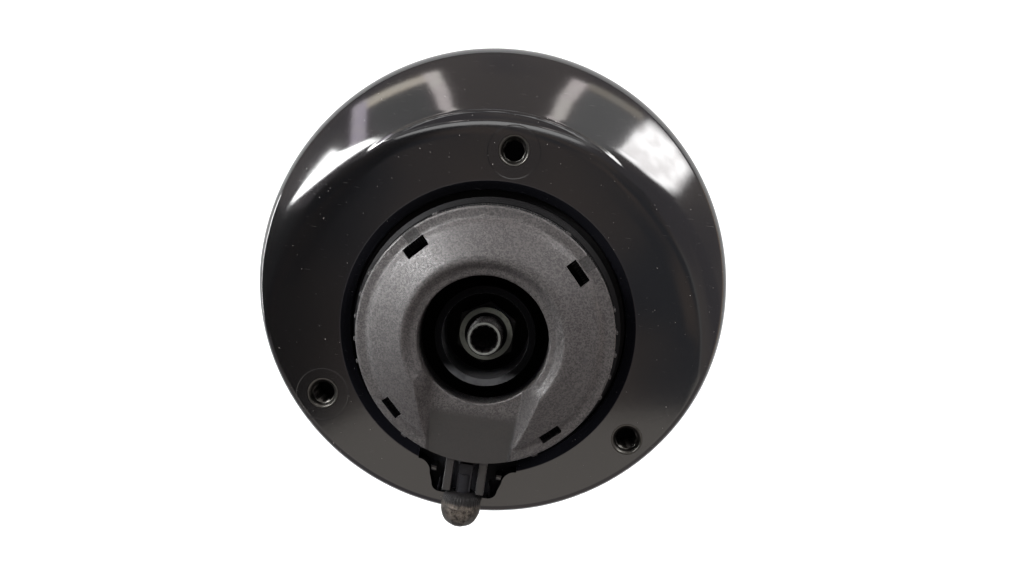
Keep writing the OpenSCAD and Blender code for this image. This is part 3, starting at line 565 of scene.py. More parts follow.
def cut(obj, cutters):
    """Takes the cutters out of obj and keeps the result as its mesh."""
    for c in cutters:
        m = obj.modifiers.new("cut", "BOOLEAN")
        m.operation = "DIFFERENCE"
        m.solver = "EXACT"
        m.object = c
    bpy.context.view_layer.update()
    dg = bpy.context.evaluated_depsgraph_get()
    mesh = bpy.data.meshes.new_from_object(obj.evaluated_get(dg))
    old = obj.data
    obj.modifiers.clear()
    obj.data = mesh
    bpy.data.meshes.remove(old)
    for c in cutters:
        data = c.data
        bpy.data.objects.remove(c)
        bpy.data.meshes.remove(data)


def read_all(items, key, kind, width=1):
    """One value, or a row of them, from each of a mesh's items."""
    values = np.zeros(len(items) * width, kind)
    items.foreach_get(key, values)
    return values if width == 1 else values.reshape(-1, width)


def surface_normals(height, x, y, e=0.05):
    """Unit normals of a height function, from its slopes over 2 e millimetres."""
    gx = (height(x + e, y) - height(x - e, y)) / (2 * e)
    gy = (height(x, y + e) - height(x, y - e)) / (2 * e)
    normal = row(-gx, -gy, 1.0)
    return normal / np.linalg.norm(normal, axis=1)[:, None]


def follow_surface(obj, height, tolerance=0.02):
    """Gives the loops that lie on the height function its exact normals."""
    mesh = obj.data
    shade(mesh)
    x, y, z = (read_all(mesh.vertices, "co", float, 3) / MM).T
    normal = surface_normals(height, x, y)
    on = np.abs(z - height(x, y)) < tolerance
    loops = read_all(mesh.loops, "vertex_index", int)
    starts = read_all(mesh.polygons, "loop_start", int)
    faces = read_all(mesh.polygons, "normal", float, 3)
    owner = np.repeat(np.arange(len(starts)), read_all(mesh.polygons, "loop_total", int))
    all_on = np.minimum.reduceat(on[loops].astype(int), starts)[owner] > 0
    agree = (faces[owner] * normal[loops]).sum(1) > 0.8
    keep = all_on & agree & (faces[owner][:, 2] > 0.05)
    out = np.where(keep[:, None], normal[loops], 0.0)
    mesh.normals_split_custom_set(out.tolist())


# Top housing: flat, step, tilted flank with a rolled rim, pocket and thread bosses

POT_R, POT_X, POT_Y = 97.6, -0.9, 19.8
FLAT_R, FLAT_Y = 97.3, -12.3
LEDGE_R, LEDGE_X, LEDGE_Y = 78.2, -2.3, 11.4
LEDGE_HIGH, LIP_HIGH = 0.7, 0.3
LEDGE_MIDDLE_X, LEDGE_HALF = -6.0, 56.0
BORE_EDGE = 61.3
RIM_WIDE, RIM_DEEP = 2.9, 3.2                   # rolled rim between flank and wall
FLANGE_R, FLANGE_TOP, FLANGE_FOOT = POT_R + 2.96, -57, -62
WALL_IN = POT_R - 3.5
BOLT_R, HOLE_R, HOLE_FOOT = 74.0, 6.5, -20.0
POCKET_FLOOR = -9.0
ABOVE_FACE = 5      # height that the cutters reach


def smooth_min(a, b, k):
    """The lower of two heights, with a rounded inner corner about k wide."""
    near = np.maximum(k - np.abs(a - b), 0) / k
    return np.minimum(a, b) - near * near * k / 4


def rise(d, width):
    """Smooth step from 0 to 1 over a width."""
    t = np.clip(d / width, 0, 1)
    return t * t * (3 - 2 * t)


def flank_height(x, y):
    """Cone round the tilted pot axis that turns down a little more towards its rim."""
    tilt, slope = math.radians(9.5), math.radians(21.5)
    curl, curl_from = 0.0055, 80
    c, s = math.cos(tilt), math.sin(tilt)
    rim_z = 1.5 - (POT_Y + 5) * math.tan(tilt)
    x, y = x - POT_X, y - POT_Y
    z = np.zeros_like(x)
    # The height on the tilted cone is found in a few rounds, because it moves the point along Y
    for _ in range(12):
        local_y = c * y - s * z
        r = np.sqrt(x * x + local_y ** 2 + 1e-9)
        local_z = (POT_R - r) * math.tan(slope) - curl * np.maximum(r - curl_from, 0) ** 2
        z = (local_z - s * y) / c
    return z + rim_z


def housing_height(x, y):
    """Flat face, crescent ledge, flank and rolled rim, with the bore's edge falling inward."""
    d_flat = FLAT_R - np.hypot(x, y - FLAT_Y)
    d_pot = POT_R - np.hypot(x - POT_X, y - POT_Y)
    d_ledge = LEDGE_R - np.hypot(x - LEDGE_X, y - LEDGE_Y)
    ends = rise(LEDGE_HALF - np.abs(x - LEDGE_MIDDLE_X), 14.0)
    ledge = LEDGE_HIGH * ends * rise(d_ledge + 0.7, 1.4)
    lip = LIP_HIGH * ends * rise(-d_flat, 0.9) * rise(d_ledge, 1.5)
    z = smooth_min(flank_height(x, y) + ledge - lip, np.zeros_like(x), 4.0)
    roll = np.clip((RIM_WIDE - d_pot) / RIM_WIDE, 0, 0.999)
    z = z - RIM_DEEP * (1 - np.sqrt(1 - roll ** 2))
    fall = np.maximum(BORE_EDGE - np.hypot(x, y), 0)
    return z - (np.sqrt((0.95 * fall) ** 2 + 0.25) - 0.5)


def pocket_outline():
    """Plan of the pocket: flared mouth, leaning walls and a rounded end."""
    mouth_x, mouth_r = 20.7, 5.5
    pts = [(mouth_x, -50.0)]
    for a in np.radians(np.linspace(0, 90, 13)):
        pts.append((mouth_x - mouth_r * math.sin(a), -63.7 + mouth_r * math.cos(a)))
    pts.append((14.0, -67.0))
    for a in np.radians(np.linspace(10, 90, 9)):
        pts.append((10.0 + 3.8 * math.cos(a), -67.7 - 3.4 * math.sin(a)))
    return pts + [(-x, y) for x, y in pts[::-1]]


def reach(ux, uy, cx, cy, r):
    """Distance from the strut's axis to a circle, along each direction."""
    toward = ux * cx + uy * cy
    return toward + np.sqrt(toward ** 2 - cx * cx - cy * cy + r * r)


def bolt_places():
    """Centres of the three mounting threads, in plan."""
    return [(BOLT_R * math.cos(math.radians(a)), BOLT_R * math.sin(math.radians(a)))
            for a in (90, 210, 330)]


def face_radii(to_flat, to_pot):
    """Radii of the rings over the housing's face, close together where it bends."""
    near = 8.0      # reach of the fine rings on both sides of the flat's edge
    edge, last = np.minimum(to_flat, to_pot - 3.2), to_pot - 3.1
    start = np.minimum(edge + near, last)
    bore = (57.5, 59.0, 60.2, 60.6, 60.9, 61.1, 61.3, 61.5, 61.8, 62.2)
    rim = (2.8, 2.5, 2.2, 1.9, 1.6, 1.3, 1.0, 0.75, 0.5, 0.3, 0.15, 0.05, 0.0)
    radii = [np.full(len(to_pot), r) for r in bore]
    radii += [bore[-1] + (edge - near - bore[-1]) * t for t in (0.33, 0.66, 1.0)]
    radii += [np.minimum(edge + s, last) for s in np.arange(0.4 - near, near + 0.01, 0.4)]
    radii += [start + (last - start) * t for t in np.linspace(1 / 15, 1, 15)]
    radii += [to_pot - s for s in rim]
    return radii


def wall_rows(ux, uy, to_pot):
    """Rings down the wall, round the weld flange, up inside it and round the bore's foot."""
    def pot_ring(r, z, lean=0.0):
        x, y = (ux * to_pot - POT_X) * (r / POT_R), (uy * to_pot - POT_Y) * (r / POT_R)
        return row(x + lean * POT_X, y + POT_Y, z)

    rows = [pot_ring(POT_R, -40, 0.5)]
    rows += [pot_ring(r, z) for r, z in (
        (POT_R, FLANGE_TOP + 0.4), (POT_R + 0.5, FLANGE_TOP), (POT_R + 2.6, FLANGE_TOP),
        (FLANGE_R, FLANGE_TOP - 0.4), (FLANGE_R, FLANGE_FOOT), (WALL_IN, FLANGE_FOOT),
        (WALL_IN, -28.5))]
    rows += [row(ux * r, uy * r, z) for r, z in
             ((63.0, -26.5), (62.6, -26.0), (62.6, HOLE_FOOT), (57.5, HOLE_FOOT))]
    return rows


def shade_recesses(obj):
    """Gives the pocket and the three thread holes the dark pocket_shade material: painted shade in
    their depths.
    """
    obj.data.materials.append(made["pocket_shade"])
    places = bolt_places()
    for poly in obj.data.polygons:
        x, y, z = (c / MM for c in poly.center)
        in_pocket = abs(x) < 21 and -72 < y < -50 and POCKET_FLOOR - 0.5 < z < -1.0
        in_hole = z < -1.0 and min(math.hypot(x - a, y - b) for a, b in places) < HOLE_R + 0.2
        poly.material_index = int(in_pocket or in_hole)


def make_housing():
    """Upper shell of the pot, with its thread holes and the pocket for the fitting."""
    th = full_turn(512)
    ux, uy = np.cos(th), np.sin(th)
    to_pot = reach(ux, uy, POT_X, POT_Y, POT_R)
    radii = face_radii(reach(ux, uy, 0, FLAT_Y, FLAT_R), to_pot)
    rows = [row(ux * r, uy * r, housing_height(ux * r, uy * r)) for r in radii]
    verts, faces = loft(rows + wall_rows(ux, uy, to_pot), True)
    faces = [f[::-1] for f in faces]
    obj = add_object("housing_shell", verts, faces, "housing_black", None)
    cutters = [outline_solid("cut_insert", circle_points(x, y, HOLE_R, 96), HOLE_FOOT, ABOVE_FACE)
               for x, y in bolt_places()]
    pocket = pocket_outline()[::-1]
    cutters.append(outline_solid("cut_pocket", pocket, POCKET_FLOOR, ABOVE_FACE))
    cut(obj, cutters)
    shade_recesses(obj)
    follow_surface(obj, housing_height)
    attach(obj, "top")
    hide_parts("top_housing")


# Threads, inserts and rod

M10_PITCH, M14_PITCH = 1.5, 1.5
ROD_R, PISTON_SEAT_R, SOCKET_R = 10.0, 6.0, 5.38


def thread_rows(root, depth, pitch, low, high, count):
    """Rings from low to high whose radius follows a thread that fades at both ends."""
    th = full_turn(count)
    rows = []
    for z in np.linspace(low, high, int((high - low) / pitch * 8) + 1):
        f = np.mod(z / pitch - th / (2 * math.pi), 1.0)
        crest = np.clip(1.7 * np.abs(2 * f - 1) - 0.35, 0, 1)
        fade = np.clip(min(z - low, high - z) / (0.6 * pitch), 0, 1)
        r = root + depth * crest * fade
        rows.append(row(r * np.cos(th), r * np.sin(th), z))
    return np.array(rows)


def make_inserts():
    """Steel bushes with a countersunk M10 thread in the three bosses."""
    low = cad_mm("threaded_inserts")[0][2]
    count = 72
    wall = rings([(HOLE_R, low), (HOLE_R, -0.2), (6.35, -0.02), (5.95, 0.0), (5.75, -0.12),
                  (4.75, -1.35), (4.7, -1.6)], count)
    bore = thread_rows(4.9, -0.62, M10_PITCH, low, -1.8, count)[::-1]
    parts = []
    for x, y in bolt_places():
        v, f = loft(np.concatenate([wall, bore]), True)
        parts.append((v + [x, y, 0], f))
    obj = add_object("insert_bushes", *join(parts), "zinc_steel", "top", 40)
    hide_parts("threaded_inserts")


def star(count, corner, z):
    """Twelve-point outline: two hexagons turned by 30 degrees."""
    th = full_turn(count)
    third, sixth = math.pi / 3, math.pi / 6
    off = np.maximum(np.abs(np.mod(th + sixth, third) - sixth), np.abs(np.mod(th, third) - sixth))
    r = corner * math.cos(sixth) / np.cos(off)
    return row(r * np.cos(th), r * np.sin(th), z)


def make_rod():
    """Rod with its rolled M14 thread and the twelve-point socket in its end."""
    low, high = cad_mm("piston_rod")[0][2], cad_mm("piston_rod")[1][2]
    piston_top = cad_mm("damper_piston")[1][2]
    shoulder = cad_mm("lower_washer")[0][2]
    count = 192
    body = rings([(PISTON_SEAT_R, low), (PISTON_SEAT_R, piston_top), (ROD_R, piston_top),
                  (ROD_R, shoulder), (6.9, shoulder), (6.9, 6.0)], count)
    tip = rings([(6.55, high - 0.45), (6.25, high), (5.65, high)], count)
    rows = [body, thread_rows(6.25, 0.72, M14_PITCH, 6.4, high - 0.6, count), tip]
    rows += [[star(count, r, high - deep)] for r, deep in
             ((SOCKET_R + 0.12, 0.25), (SOCKET_R, 0.6), (SOCKET_R, 9))]
    rows.append(rings([(0.3, high - 12.5)], count))
    obj = add_object("rod_end", *loft(np.concatenate(rows)), "rod_steel", "top", 30)
    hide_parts("piston_rod")


# Centre cap: soft crown, channel to the fitting, slots, teeth and rails

CAP_R, WELL_R = 51.3, 25.7
CAP_EDGE, CAP_FOOT, CROWN_TOP = 19.7, 12.0, 28.48
# Profiles as (distance in mm, slope in degrees): crown by radius, lip by distance from the well
CROWN_SLOPES = ((31.0, 0), (33.4, 23), (43.8, 24), (45.9, 44), (48.0, 5), (50.5, 5), (51.3, 50))
LIP_SLOPES = ((0.0, 8), (2.2, 10), (3.4, 42), (4.8, 40), (6.2, 0))
WELL_X, WELL_Y = -0.4, -1.2
CHANNEL_HALF, CHANNEL_FLARE, CHANNEL_END_Y = 15.6, 2.2, -15.0
# Latch slots as (angle in degrees, distance of their middle from the axis)
SLOTS = ((43.2, 44.1), (135.8, 44.3), (226, 46.7), (312, 46.7))
SLOT_HALF_UPPER, SLOT_HALF_LOWER = (2.25, 5.0), (1.75, 4.5)


def well_distance(x, y):
    """Distance outward from the edge of the cap's well."""
    return np.hypot(x - WELL_X, y - WELL_Y) - WELL_R


def drop(d, slopes):
    """Fall gathered along a profile of slopes, in millimetres."""
    at, angle = zip(*slopes)
    grid = np.linspace(at[0], at[-1], 400)
    fall = np.cumsum(np.tan(np.radians(np.interp(grid, at, angle)))) * (grid[1] - grid[0])
    return np.interp(d, grid, fall)


def lip_height(x, y):
    """Height of the rounded lip that climbs from the well to the crown."""
    below_top = drop(LIP_SLOPES[-1][0], LIP_SLOPES)
    return CROWN_TOP - below_top + drop(well_distance(x, y), LIP_SLOPES)


def crown_height(x, y):
    """Height of the crown that falls from the lip to the cap's edge."""
    share = drop(np.hypot(x, y), CROWN_SLOPES) / drop(CAP_R, CROWN_SLOPES)
    return lip_height(x, y) - (CROWN_TOP - CAP_EDGE) * share


def cap_height(x, y):
    """Top of the cap: crown and lip, with the channel that opens towards the fitting."""
    floor = CAP_EDGE + 1.5 * np.clip((CAP_R - np.hypot(x, y)) / (CAP_R - WELL_R), 0, 1)
    half = CHANNEL_HALF + CHANNEL_FLARE * np.clip((CAP_R + y) / (CAP_R - WELL_R), 0, 1)
    away = np.hypot(np.maximum(np.abs(x) - half, 0), np.maximum(y - CHANNEL_END_Y, 0))
    side = floor + 1.25 * away - 0.25
    top = lip_height(x, y)
    z = smooth_min(top, side, 2.6) + 0.12
    return np.minimum(np.where(y < 5, z, top), crown_height(x, y))


def make_cap():
    """Matte centre cap with its well, crown, channel, skirt and latch slots."""
    n = 480
    th = full_turn(n)
    ux, uy = np.cos(th), np.sin(th)
    well_r = reach(ux, uy, WELL_X, WELL_Y, WELL_R)
    steps = [0, 0.006, 0.016, 0.032] + list(np.linspace(0.055, 0.9, 50))
    steps += [0.918, 0.936, 0.952, 0.965, 0.976, 0.985, 0.992, 0.9965, 0.999, 1.0]
    top = []
    for share in steps:
        r = well_r + (CAP_R - well_r) * share
        x, y = ux * r, uy * r
        rounding = 0.35 * max(0.0, 1 - share / 0.024) ** 2
        top.append(row(x, y, cap_height(x, y) - rounding))
    top = np.array(top)
    under = top[4:-8:4].copy()
    under[:, :, 2] = np.maximum(under[:, :, 2] - 2.3, CAP_FOOT + 0.5)
    well = np.array([top[4] * [1, 1, 0] + [0, 0, 8.0], top[0] * [1, 1, 0] + [0, 0, 8.0]])
    skirt = rings([(CAP_R, CAP_FOOT), (CAP_R - 2.2, CAP_FOOT)], n)
    rows = np.concatenate([well, top, skirt, under[::-1]])
    obj = add_object("cap_shell", *loft(rows, True), "cap_plastic", None)
    cutters = []
    for a, r in SLOTS:
        half, long = SLOT_HALF_UPPER if a < 180 else SLOT_HALF_LOWER
        c, s = math.cos(math.radians(a)), math.sin(math.radians(a))
        plan = [(r * c + u * c - v * s, r * s + u * s + v * c)
                for u, v in ((-half, -long), (half, -long), (half, long), (-half, long))]
        cutters.append(outline_solid("cut_slot", plan, 9.0, 40.0))
    cut(obj, cutters)
    obj.data.polygons.foreach_set("material_index", [0] * len(obj.data.polygons))
    obj.data.materials.clear()
    obj.data.materials.append(made["cap_plastic"])
    shade(obj.data, 38)
    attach(obj, "top")
    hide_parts("centre_cap")


def post(x, y, wide, deep, turn, low, high, rim=0.3):
    """Upright block with rounded corners and a bevelled top, turned about Z."""
    c, s = math.cos(turn), math.sin(turn)
    corners = []
    for cx, cy, start in ((1, 1, 0), (-1, 1, 90), (-1, -1, 180), (1, -1, 270)):
        corners += [(cx, cy, math.radians(start + 30 * k)) for k in range(4)]
    rows = []
    for inset, z in ((0.0, low), (0.0, high - rim), (0.3 * rim, high - 0.3 * rim), (rim, high)):
        ring = []
        for cx, cy, a in corners:
            u = cx * (deep / 2 - 0.4) + (0.4 - 0.5 * inset) * math.cos(a) - 0.5 * inset * cx
            v = cy * (wide / 2 - 0.4) + (0.4 - 0.5 * inset) * math.sin(a) - 0.5 * inset * cy
            ring.append((x + u * c - v * s, y + u * s + v * c, z))
        rows.append(ring)
    return loft(rows)


def make_teeth():
    """Grip teeth at both sides of the cap and four lugs between them."""
    teeth = [(side + step, 51.25, (1.7, 2.2), 18.9, 0.6)
             for side in (0, 180) for step in (-20, -10, 0, 10, 20)]
    lugs = [(angle, CAP_R, (2.4, 2.0), 18.6, 0.4) for angle in (59.4, 120.6, 239.4, 300.6)]
    parts = []
    for angle, r, (wide, deep), high, rim in teeth + lugs:
        a = math.radians(angle)
        place = (r * math.cos(a), r * math.sin(a))
        parts.append(post(*place, wide, deep, a, CAP_FOOT + 0.1, high, rim))
    add_object("grip_teeth", *join(parts), "cap_plastic", "top")


def rounded_box(x0, x1, z0, z1, r):
    """Outline of a rectangle with rounded corners, four points to a corner."""
    points = []
    for x, z, start in ((x1 - r, z1 - r, 0), (x0 + r, z1 - r, 90),
                        (x0 + r, z0 + r, 180), (x1 - r, z0 + r, 270)):
        for k in range(4):
            a = math.radians(start + 30 * k)
            points.append((x + r * math.cos(a), z + r * math.sin(a)))
    return points


def make_rails():
    """Two rails from the cap to the dust cap, flared where they leave the cap."""
    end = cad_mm("fitting_cap")[1][1] + 0.3
    inner, outer, low, high = 5.1, 8.5, 8.4, 12.25
    parts = []
    for side in (-1, 1):
        rows = []
        for y in np.linspace(end, -48.6, 26):
            flare = np.clip((y + 53.8) / 4.4, 0, 0.999)
            wide = outer + 2.4 * (1 - math.sqrt(1 - flare * flare))
            section = rounded_box(inner, wide, low, high + 3.2 * rise(flare, 1), 0.45)
            ring = [(side * x, y, z) for x, z in section]
            rows.append(ring if side < 0 else ring[::-1])
        parts.append(loft(rows))
    add_object("hose_rails", *join(parts), "cap_plastic", "top")


def make_pocket_trim():
    """Small ledges at the pocket's mouth and thin ribs at its end."""
    ledges, ribs = [], []
    for side in (-1, 1):
        ledges.append(post(side * 13.8, -61.9, 2.2, 3.0, 0, POCKET_FLOOR, -1.4, 0.5))
        ribs.append(post(side * 10.7, -68.9, 6.6, 0.9, side * 0.12, POCKET_FLOOR, -1.6))
    add_object("pocket_ledges", *join(ledges), "housing_black", "top")
    obj = add_object("pocket_ribs", *join(ribs), "housing_black", "top")
    # The ribs at the pocket's end take the same painted shade.
    obj.data.materials[0] = made["pocket_shade"]


# Dust cap: knurled collar and a faceted dome

def make_dust_cap():
    """Dust cap round a line along Y, hollow where it sits on the fitting."""
    low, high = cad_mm("fitting_cap")
    axis_z, mouth_y = (low[2] + high[2]) / 2, high[1]
    length, r = high[1] - low[1], (high[2] - low[2]) / 2
    th = full_turn(160)
    knurl = 0.22 * np.abs(np.sin(th * 20))
    facet = np.cos(math.pi / 8) / np.cos(np.mod(th + math.pi / 8, math.pi / 4) - math.pi / 8)
    # Rows of (radius, distance from the mouth, share of the knurl, share of the facets)
    rows = [(3.1, 8.6, 0, 0), (3.1, 0.3, 0, 0), (3.6, 0, 0, 0), (r - 4.0, 0.05, 0, 0),
            (r - 2.8, 0.35, 0.3, 0), (r - 1.7, 0.95, 0.7, 0), (r - 0.9, 1.8, 1, 0),
            (r - 0.45, 2.8, 1, 0), (r - 0.25, 4.6, 1, 0), (r - 0.25, 5.0, 1, 0),
            (r - 0.3, 5.3, 0, 0), (r - 0.05, 5.7, 0, 0), (r, 6.2, 0, 0), (r, 6.8, 0, 0.1)]
    dome_from = 7.0
    for share in (0.15, 0.3, 0.45, 0.58, 0.7, 0.8, 0.88, 0.94, 0.98):
        rows.append((r * math.sqrt(1 - share ** 2), dome_from + (length - dome_from) * share,
                     0, min(1.0, 2 * share) * 0.8))
    rows.append((0.3, length, 0, 0))
    shape = []
    for radius, out, knurled, faceted in rows:
        rr = (radius - knurl * knurled) * (1 - faceted + faceted * facet)
        shape.append(row(rr * np.cos(th), mouth_y - out, axis_z + rr * np.sin(th)))
    obj = add_object("dust_cap", *loft(shape), "dust_cap_plastic", "top", 28)
    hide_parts("fitting_cap")


# Gaiter and lower end

def make_gaiter():
    """Folded gaiter that tapers to the tube, pressed towards its top by the stroke."""
    low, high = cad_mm("gaiter")[0][2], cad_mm("gaiter")[1][2]
    folds, thick, ridge = 11, 1.4, 6.0
    start, stop = high - 16.0, low + 10.2
    pitch = (start - stop) / folds
    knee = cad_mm("support_ring")[0][2] - 4.0
    collar, foot = 66.3, 28.6
    knee_r, last_r = 50.4, foot + 2.6

    def valley(z):
        if z > knee:
            return knee_r + (collar - ridge - knee_r) * (z - knee) / (start - knee)
        return last_r + (knee_r - last_r) * (z - stop) / (knee - stop)

    outer = [(collar, high), (collar, start + 0.5)]
    for z in np.arange(start - pitch * 0.12, stop + pitch * 0.35, -pitch / 12):
        wave = 0.5 + 0.5 * math.cos(2 * math.pi * ((start - z) / pitch - 0.25))
        outer.append((valley(z) + ridge * wave ** 0.8, z))
    outer += [(last_r, stop - 0.5), (foot, stop - 0.9), (foot, low)]
    inner = [(r - thick, z) for r, z in outer[::-1]]
    verts, faces = loft(rings(inner + outer, 96), True)
    obj = add_object("gaiter_folds", verts, faces, "bellows_rubber", "top", 60)
    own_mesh(obj)
    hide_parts("gaiter")


def make_weld():
    """Weld bead where the tube's foot meets the eye, with the ripples of its passes."""
    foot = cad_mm("damper_tube")[0][2]
    th = full_turn(240)
    ripple = 0.18 * np.sin(th * 60)
    rows = []
    for a in full_turn(12):
        r = 24.2 + (1.6 + ripple) * math.cos(a)
        z = foot - 0.4 + (1.5 + ripple) * math.sin(a)
        rows.append(row(r * np.cos(th), r * np.sin(th), z))
    add_object("weld_bead", *loft(rows, True), "tube_black", "damper", 50)


# Studio: white ground, and cards that only gloss and diffuse light see

def background_rays(t):
    """Is 1 for the rays that show the background: camera, gloss and transmission."""
    ray = t.add("ShaderNodeLightPath").outputs
    mirrored = t.math("MAXIMUM", ray["Is Glossy Ray"], ray["Is Transmission Ray"])
    return t.math("MAXIMUM", ray["Is Camera Ray"], mirrored)


def make_studio():
    """World: white where the background shows, dimmer where it lights matte surfaces."""
    world = bpy.data.worlds.new("studio")
    scene.world = world
    world.use_nodes = True
    t = Tree(world.node_tree)
    for n in list(world.node_tree.nodes):
        world.node_tree.nodes.remove(n)
    out = t.add("ShaderNodeOutputWorld")
    white = t.add("ShaderNodeBackground")
    white.inputs["Color"].default_value = (1, 1, 1, 1)
    white.inputs["Strength"].default_value = 1.0
    soft = t.add("ShaderNodeBackground")
    soft.inputs["Color"].default_value = (0.96, 0.98, 1, 1)
    soft.inputs["Strength"].default_value = 0.4
    choose = t.add("ShaderNodeMixShader")
    t.link(background_rays(t), choose.inputs[0])
    t.link(soft.outputs[0], choose.inputs[1])
    t.link(white.outputs[0], choose.inputs[2])
    t.link(choose.outputs[0], out.inputs["Surface"])


def glow(name, strength, low=(1, 1, 1), high=(1, 1, 1), cloud_mm=330, shade=(-1.0, 0.0, 1.0)):
    """Emission of a card, clouded between two tints.

    The strength rises along X, from a share of it at the first of shade's two places, in
    metres, to all of it at the second. The mesh's attribute core scales it as well.
    """
    m = bpy.data.materials.new(name)
    m.use_nodes = True
    t = Tree(m.node_tree)
    out = next(n for n in m.node_tree.nodes if n.type == "OUTPUT_MATERIAL")
    m.node_tree.nodes.remove(m.node_tree.nodes["Principled BSDF"])
    light = t.add("ShaderNodeEmission")
    cloud = t.step(t.noise(cloud_mm, 2.0), 0.4, 0.62)
    t.link(t.mix(cloud, low, high), light.inputs["Color"])
    fade = t.step(t.split(t.place())[0], shade[0], shade[1], strength * shade[2], strength)
    core = t.add("ShaderNodeAttribute", attribute_name="core").outputs["Fac"]
    t.link(t.math("MULTIPLY", fade, core), light.inputs["Strength"])
    t.link(light.outputs[0], out.inputs["Surface"])
    return m


def sky_point(around, down, far):
    """Point far away, given its angle round +Z and its angle down from +Z, in degrees."""
    a, d = math.radians(around), math.radians(down)
    return (far * math.sin(d) * math.cos(a), far * math.sin(d) * math.sin(a), far * math.cos(d))


def card_object(name, verts, faces, core, material_made, gloss_only):
    """Mesh that only light rays see; core is each vertex's share of the full strength."""
    mesh = bpy.data.meshes.new(name)
    mesh.from_pydata(verts, [], faces)
    mesh.attributes.new("core", "FLOAT", "POINT").data.foreach_set("value", core)
    mesh.materials.append(material_made)
    obj = bpy.data.objects.new(name, mesh)
    scene.collection.objects.link(obj)
    obj.visible_camera = obj.visible_shadow = False
    obj.visible_diffuse = not gloss_only


def card(name, corners, strength, gloss_only=False, look=((1, 1, 1), (1, 1, 1)), soft=0.0):
    """Card seen in reflections; its light fades over the outer share soft of its size."""
    n = len(corners)
    middle = sum((Vector(c) for c in corners), Vector()) / n
    inner = [tuple(middle + (Vector(c) - middle) * (1 - soft)) for c in corners]
    verts, faces, core = inner, [tuple(range(n))], [1.0] * n
    if soft:
        verts = inner + list(corners)
        faces += [(i, n + i, n + (i + 1) % n, (i + 1) % n) for i in range(n)]
        core += [0.0] * n
    card_object(name, verts, faces, core, glow(name, strength, *look), gloss_only)


def sky_card(name, outline, strength, gloss_only=False, look=((1, 1, 1), (1, 1, 1)),
             far=5.0, soft=0.0):
    """Far card whose corners are given as (angle round +Z, angle down from +Z), in degrees."""
    card(name, [sky_point(a, d, far) for a, d in outline], strength, gloss_only, look, soft)


def make_dark_room():
    """Dim wall behind the cards, which the gloss sees in place of the white ground."""
    verts, faces = [], []
    around, down = range(0, 376, 15), (27, 38, 52, 66, 80, 94, 106)
    for a in around:
        verts += [sky_point(a, d, 6.0) for d in down]
    k = len(down)
    for i in range(len(around) - 1):
        faces += [(i * k + j, i * k + j + 1, (i + 1) * k + j + 1, (i + 1) * k + j)
                  for j in range(k - 1)]
    room = glow("dark_room", 0.78, (0.76, 0.70, 0.76), (1.15, 1.02, 0.98), 4000)
    card_object("dark_room", verts, faces, [1.0] * len(verts), room, True)


CEILING = 1.2
# Pairs of tints between which a card's light is clouded
WARM = ((1.0, 0.90, 0.76), (1.0, 0.94, 0.84))
ROSY = ((0.95, 0.86, 0.86), (1.0, 0.95, 0.90))
VIOLET = ((0.92, 0.84, 0.98), (1.0, 0.92, 1.0))
MOTTLED = ((0.72, 0.7, 0.7), (1.04, 1.03, 1.03))
AMBER = ((1.0, 0.72, 0.5), (1.0, 0.8, 0.62))


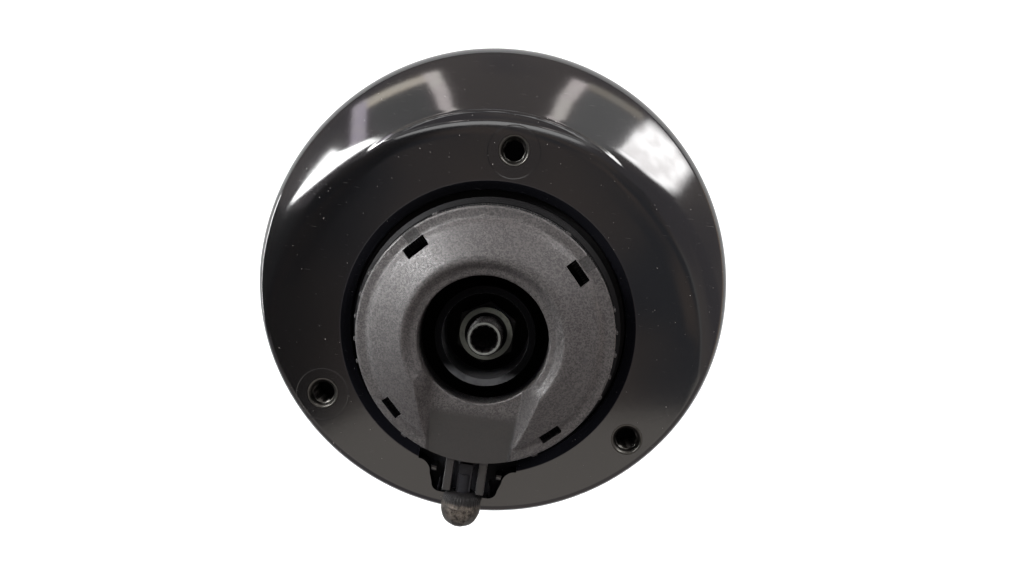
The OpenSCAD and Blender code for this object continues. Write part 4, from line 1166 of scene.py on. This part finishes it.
def make_cards():
    """Windows, lamp strips and panels of the workshop, as the flank mirrors them."""
    sky_card("window_right", [(41, 67), (45, 59), (50, 55), (62, 55), (65, 60), (63, 70),
                              (60, 82), (50, 83), (42.5, 81)], 25.0, look=MOTTLED, soft=0.3)
    sky_card("panel_right", [(62, 50), (80, 50), (76, 77), (61, 77)], 1.7, True)
    sky_card("bar_right", [(61, 77.5), (76, 77.5), (76, 81), (61, 81)], 3.6, True, WARM)
    sky_card("strip_right", [(80.5, 57), (84.5, 57), (80, 80), (76, 80)], 9.5, look=ROSY)
    sky_card("strip_middle", [(107.5, 55), (111, 55), (116, 80), (112, 80)], 9.5, look=ROSY)
    sky_card("panel_left", [(113, 50), (134, 50), (130, 75), (116, 75)], 1.2, True)
    sky_card("bar_left", [(113, 75.5), (133, 75.5), (132, 79.5), (114, 79.5)], 8.0, True, WARM)
    sky_card("strip_left", [(135.5, 56), (140, 60), (134, 80), (130, 80)], 7.0, look=VIOLET)
    pane = [(132, 47.5), (141, 46), (150, 45.5), (155, 50), (161.5, 61), (161.5, 67),
            (154, 71), (143, 71), (139.5, 60), (133, 56)]
    sky_card("window_left", pane, 24.0)
    sky_card("window_glare", pane, 80.0, True, far=4.9, soft=0.4)
    sky_card("lamp_above", [(70, 30), (133, 29), (133, 36), (70, 39)], 5.0, True)
    sky_card("window_low", [(163, 80), (199, 80), (199, 92), (163, 92)], 50.0, True, far=4.9)
    sky_card("warm_low", [(-14, 90), (38, 90), (38, 95.5), (-14, 95.5)], 3.0, True,
             AMBER)
    sky_card("shade_left", [(163, 28), (205, 28), (205, 90), (163, 90)], 0.12, True)


def make_ceilings():
    """Dark ceiling above the strut, with a bright part that the lower half of the flat mirrors."""
    dark = [(-0.9, -0.72), (0.6, -0.72), (0.6, 0.60), (-0.9, 0.60)]
    card("dark_ceiling", [(x, y, CEILING) for x, y in dark], 0.55, True,
         ((0.5, 0.52, 0.6), (1.2, 0.98, 0.88), 330, (-0.36, -0.17, 0.15)))
    bright = [(-0.7, -0.72), (0.7, -0.72), (0.7, -0.2), (0.12, -0.29), (-0.16, -0.30),
              (-0.3, -0.40), (-0.7, -0.5)]
    card("bright_ceiling", [(x, y, CEILING - 0.01) for x, y in bright], 1.75, True,
         ((1.0, 0.93, 0.86), (1.02, 0.94, 0.87)))


def make_floor():
    """Pale floor just under the strut's foot, 16 m wide."""
    low = cad_box[0][2] - 0.0005
    mesh = bpy.data.meshes.new("floor")
    corners = [(x * 8.0, y * 8.0, low) for x, y in ((-1, -1), (1, -1), (1, 1), (-1, 1))]
    mesh.from_pydata(corners, [], [(0, 1, 2, 3)])
    obj = bpy.data.objects.new("floor", mesh)
    scene.collection.objects.link(obj)
    m, t, b = material("floor_pale")
    haze = t.noise(300, 2.0)
    t.link(t.mix(haze, (0.84, 0.84, 0.84), (0.88, 0.88, 0.88)), b.inputs["Base Color"])
    b.inputs["Roughness"].default_value = 0.9
    b.inputs["Emission Color"].default_value = (1, 1, 1, 1)
    t.link(t.math("MULTIPLY", background_rays(t), 0.35), b.inputs["Emission Strength"])
    mesh.materials.append(m)


scene.view_settings.view_transform = "Standard"
make_camera()
made = make_materials()
make_housing()
make_inserts()
make_rod()
make_cap()
make_teeth()
make_rails()
make_pocket_trim()
make_dust_cap()
make_gaiter()
make_weld()
make_studio()
make_floor()
make_dark_room()
make_cards()
make_ceilings()
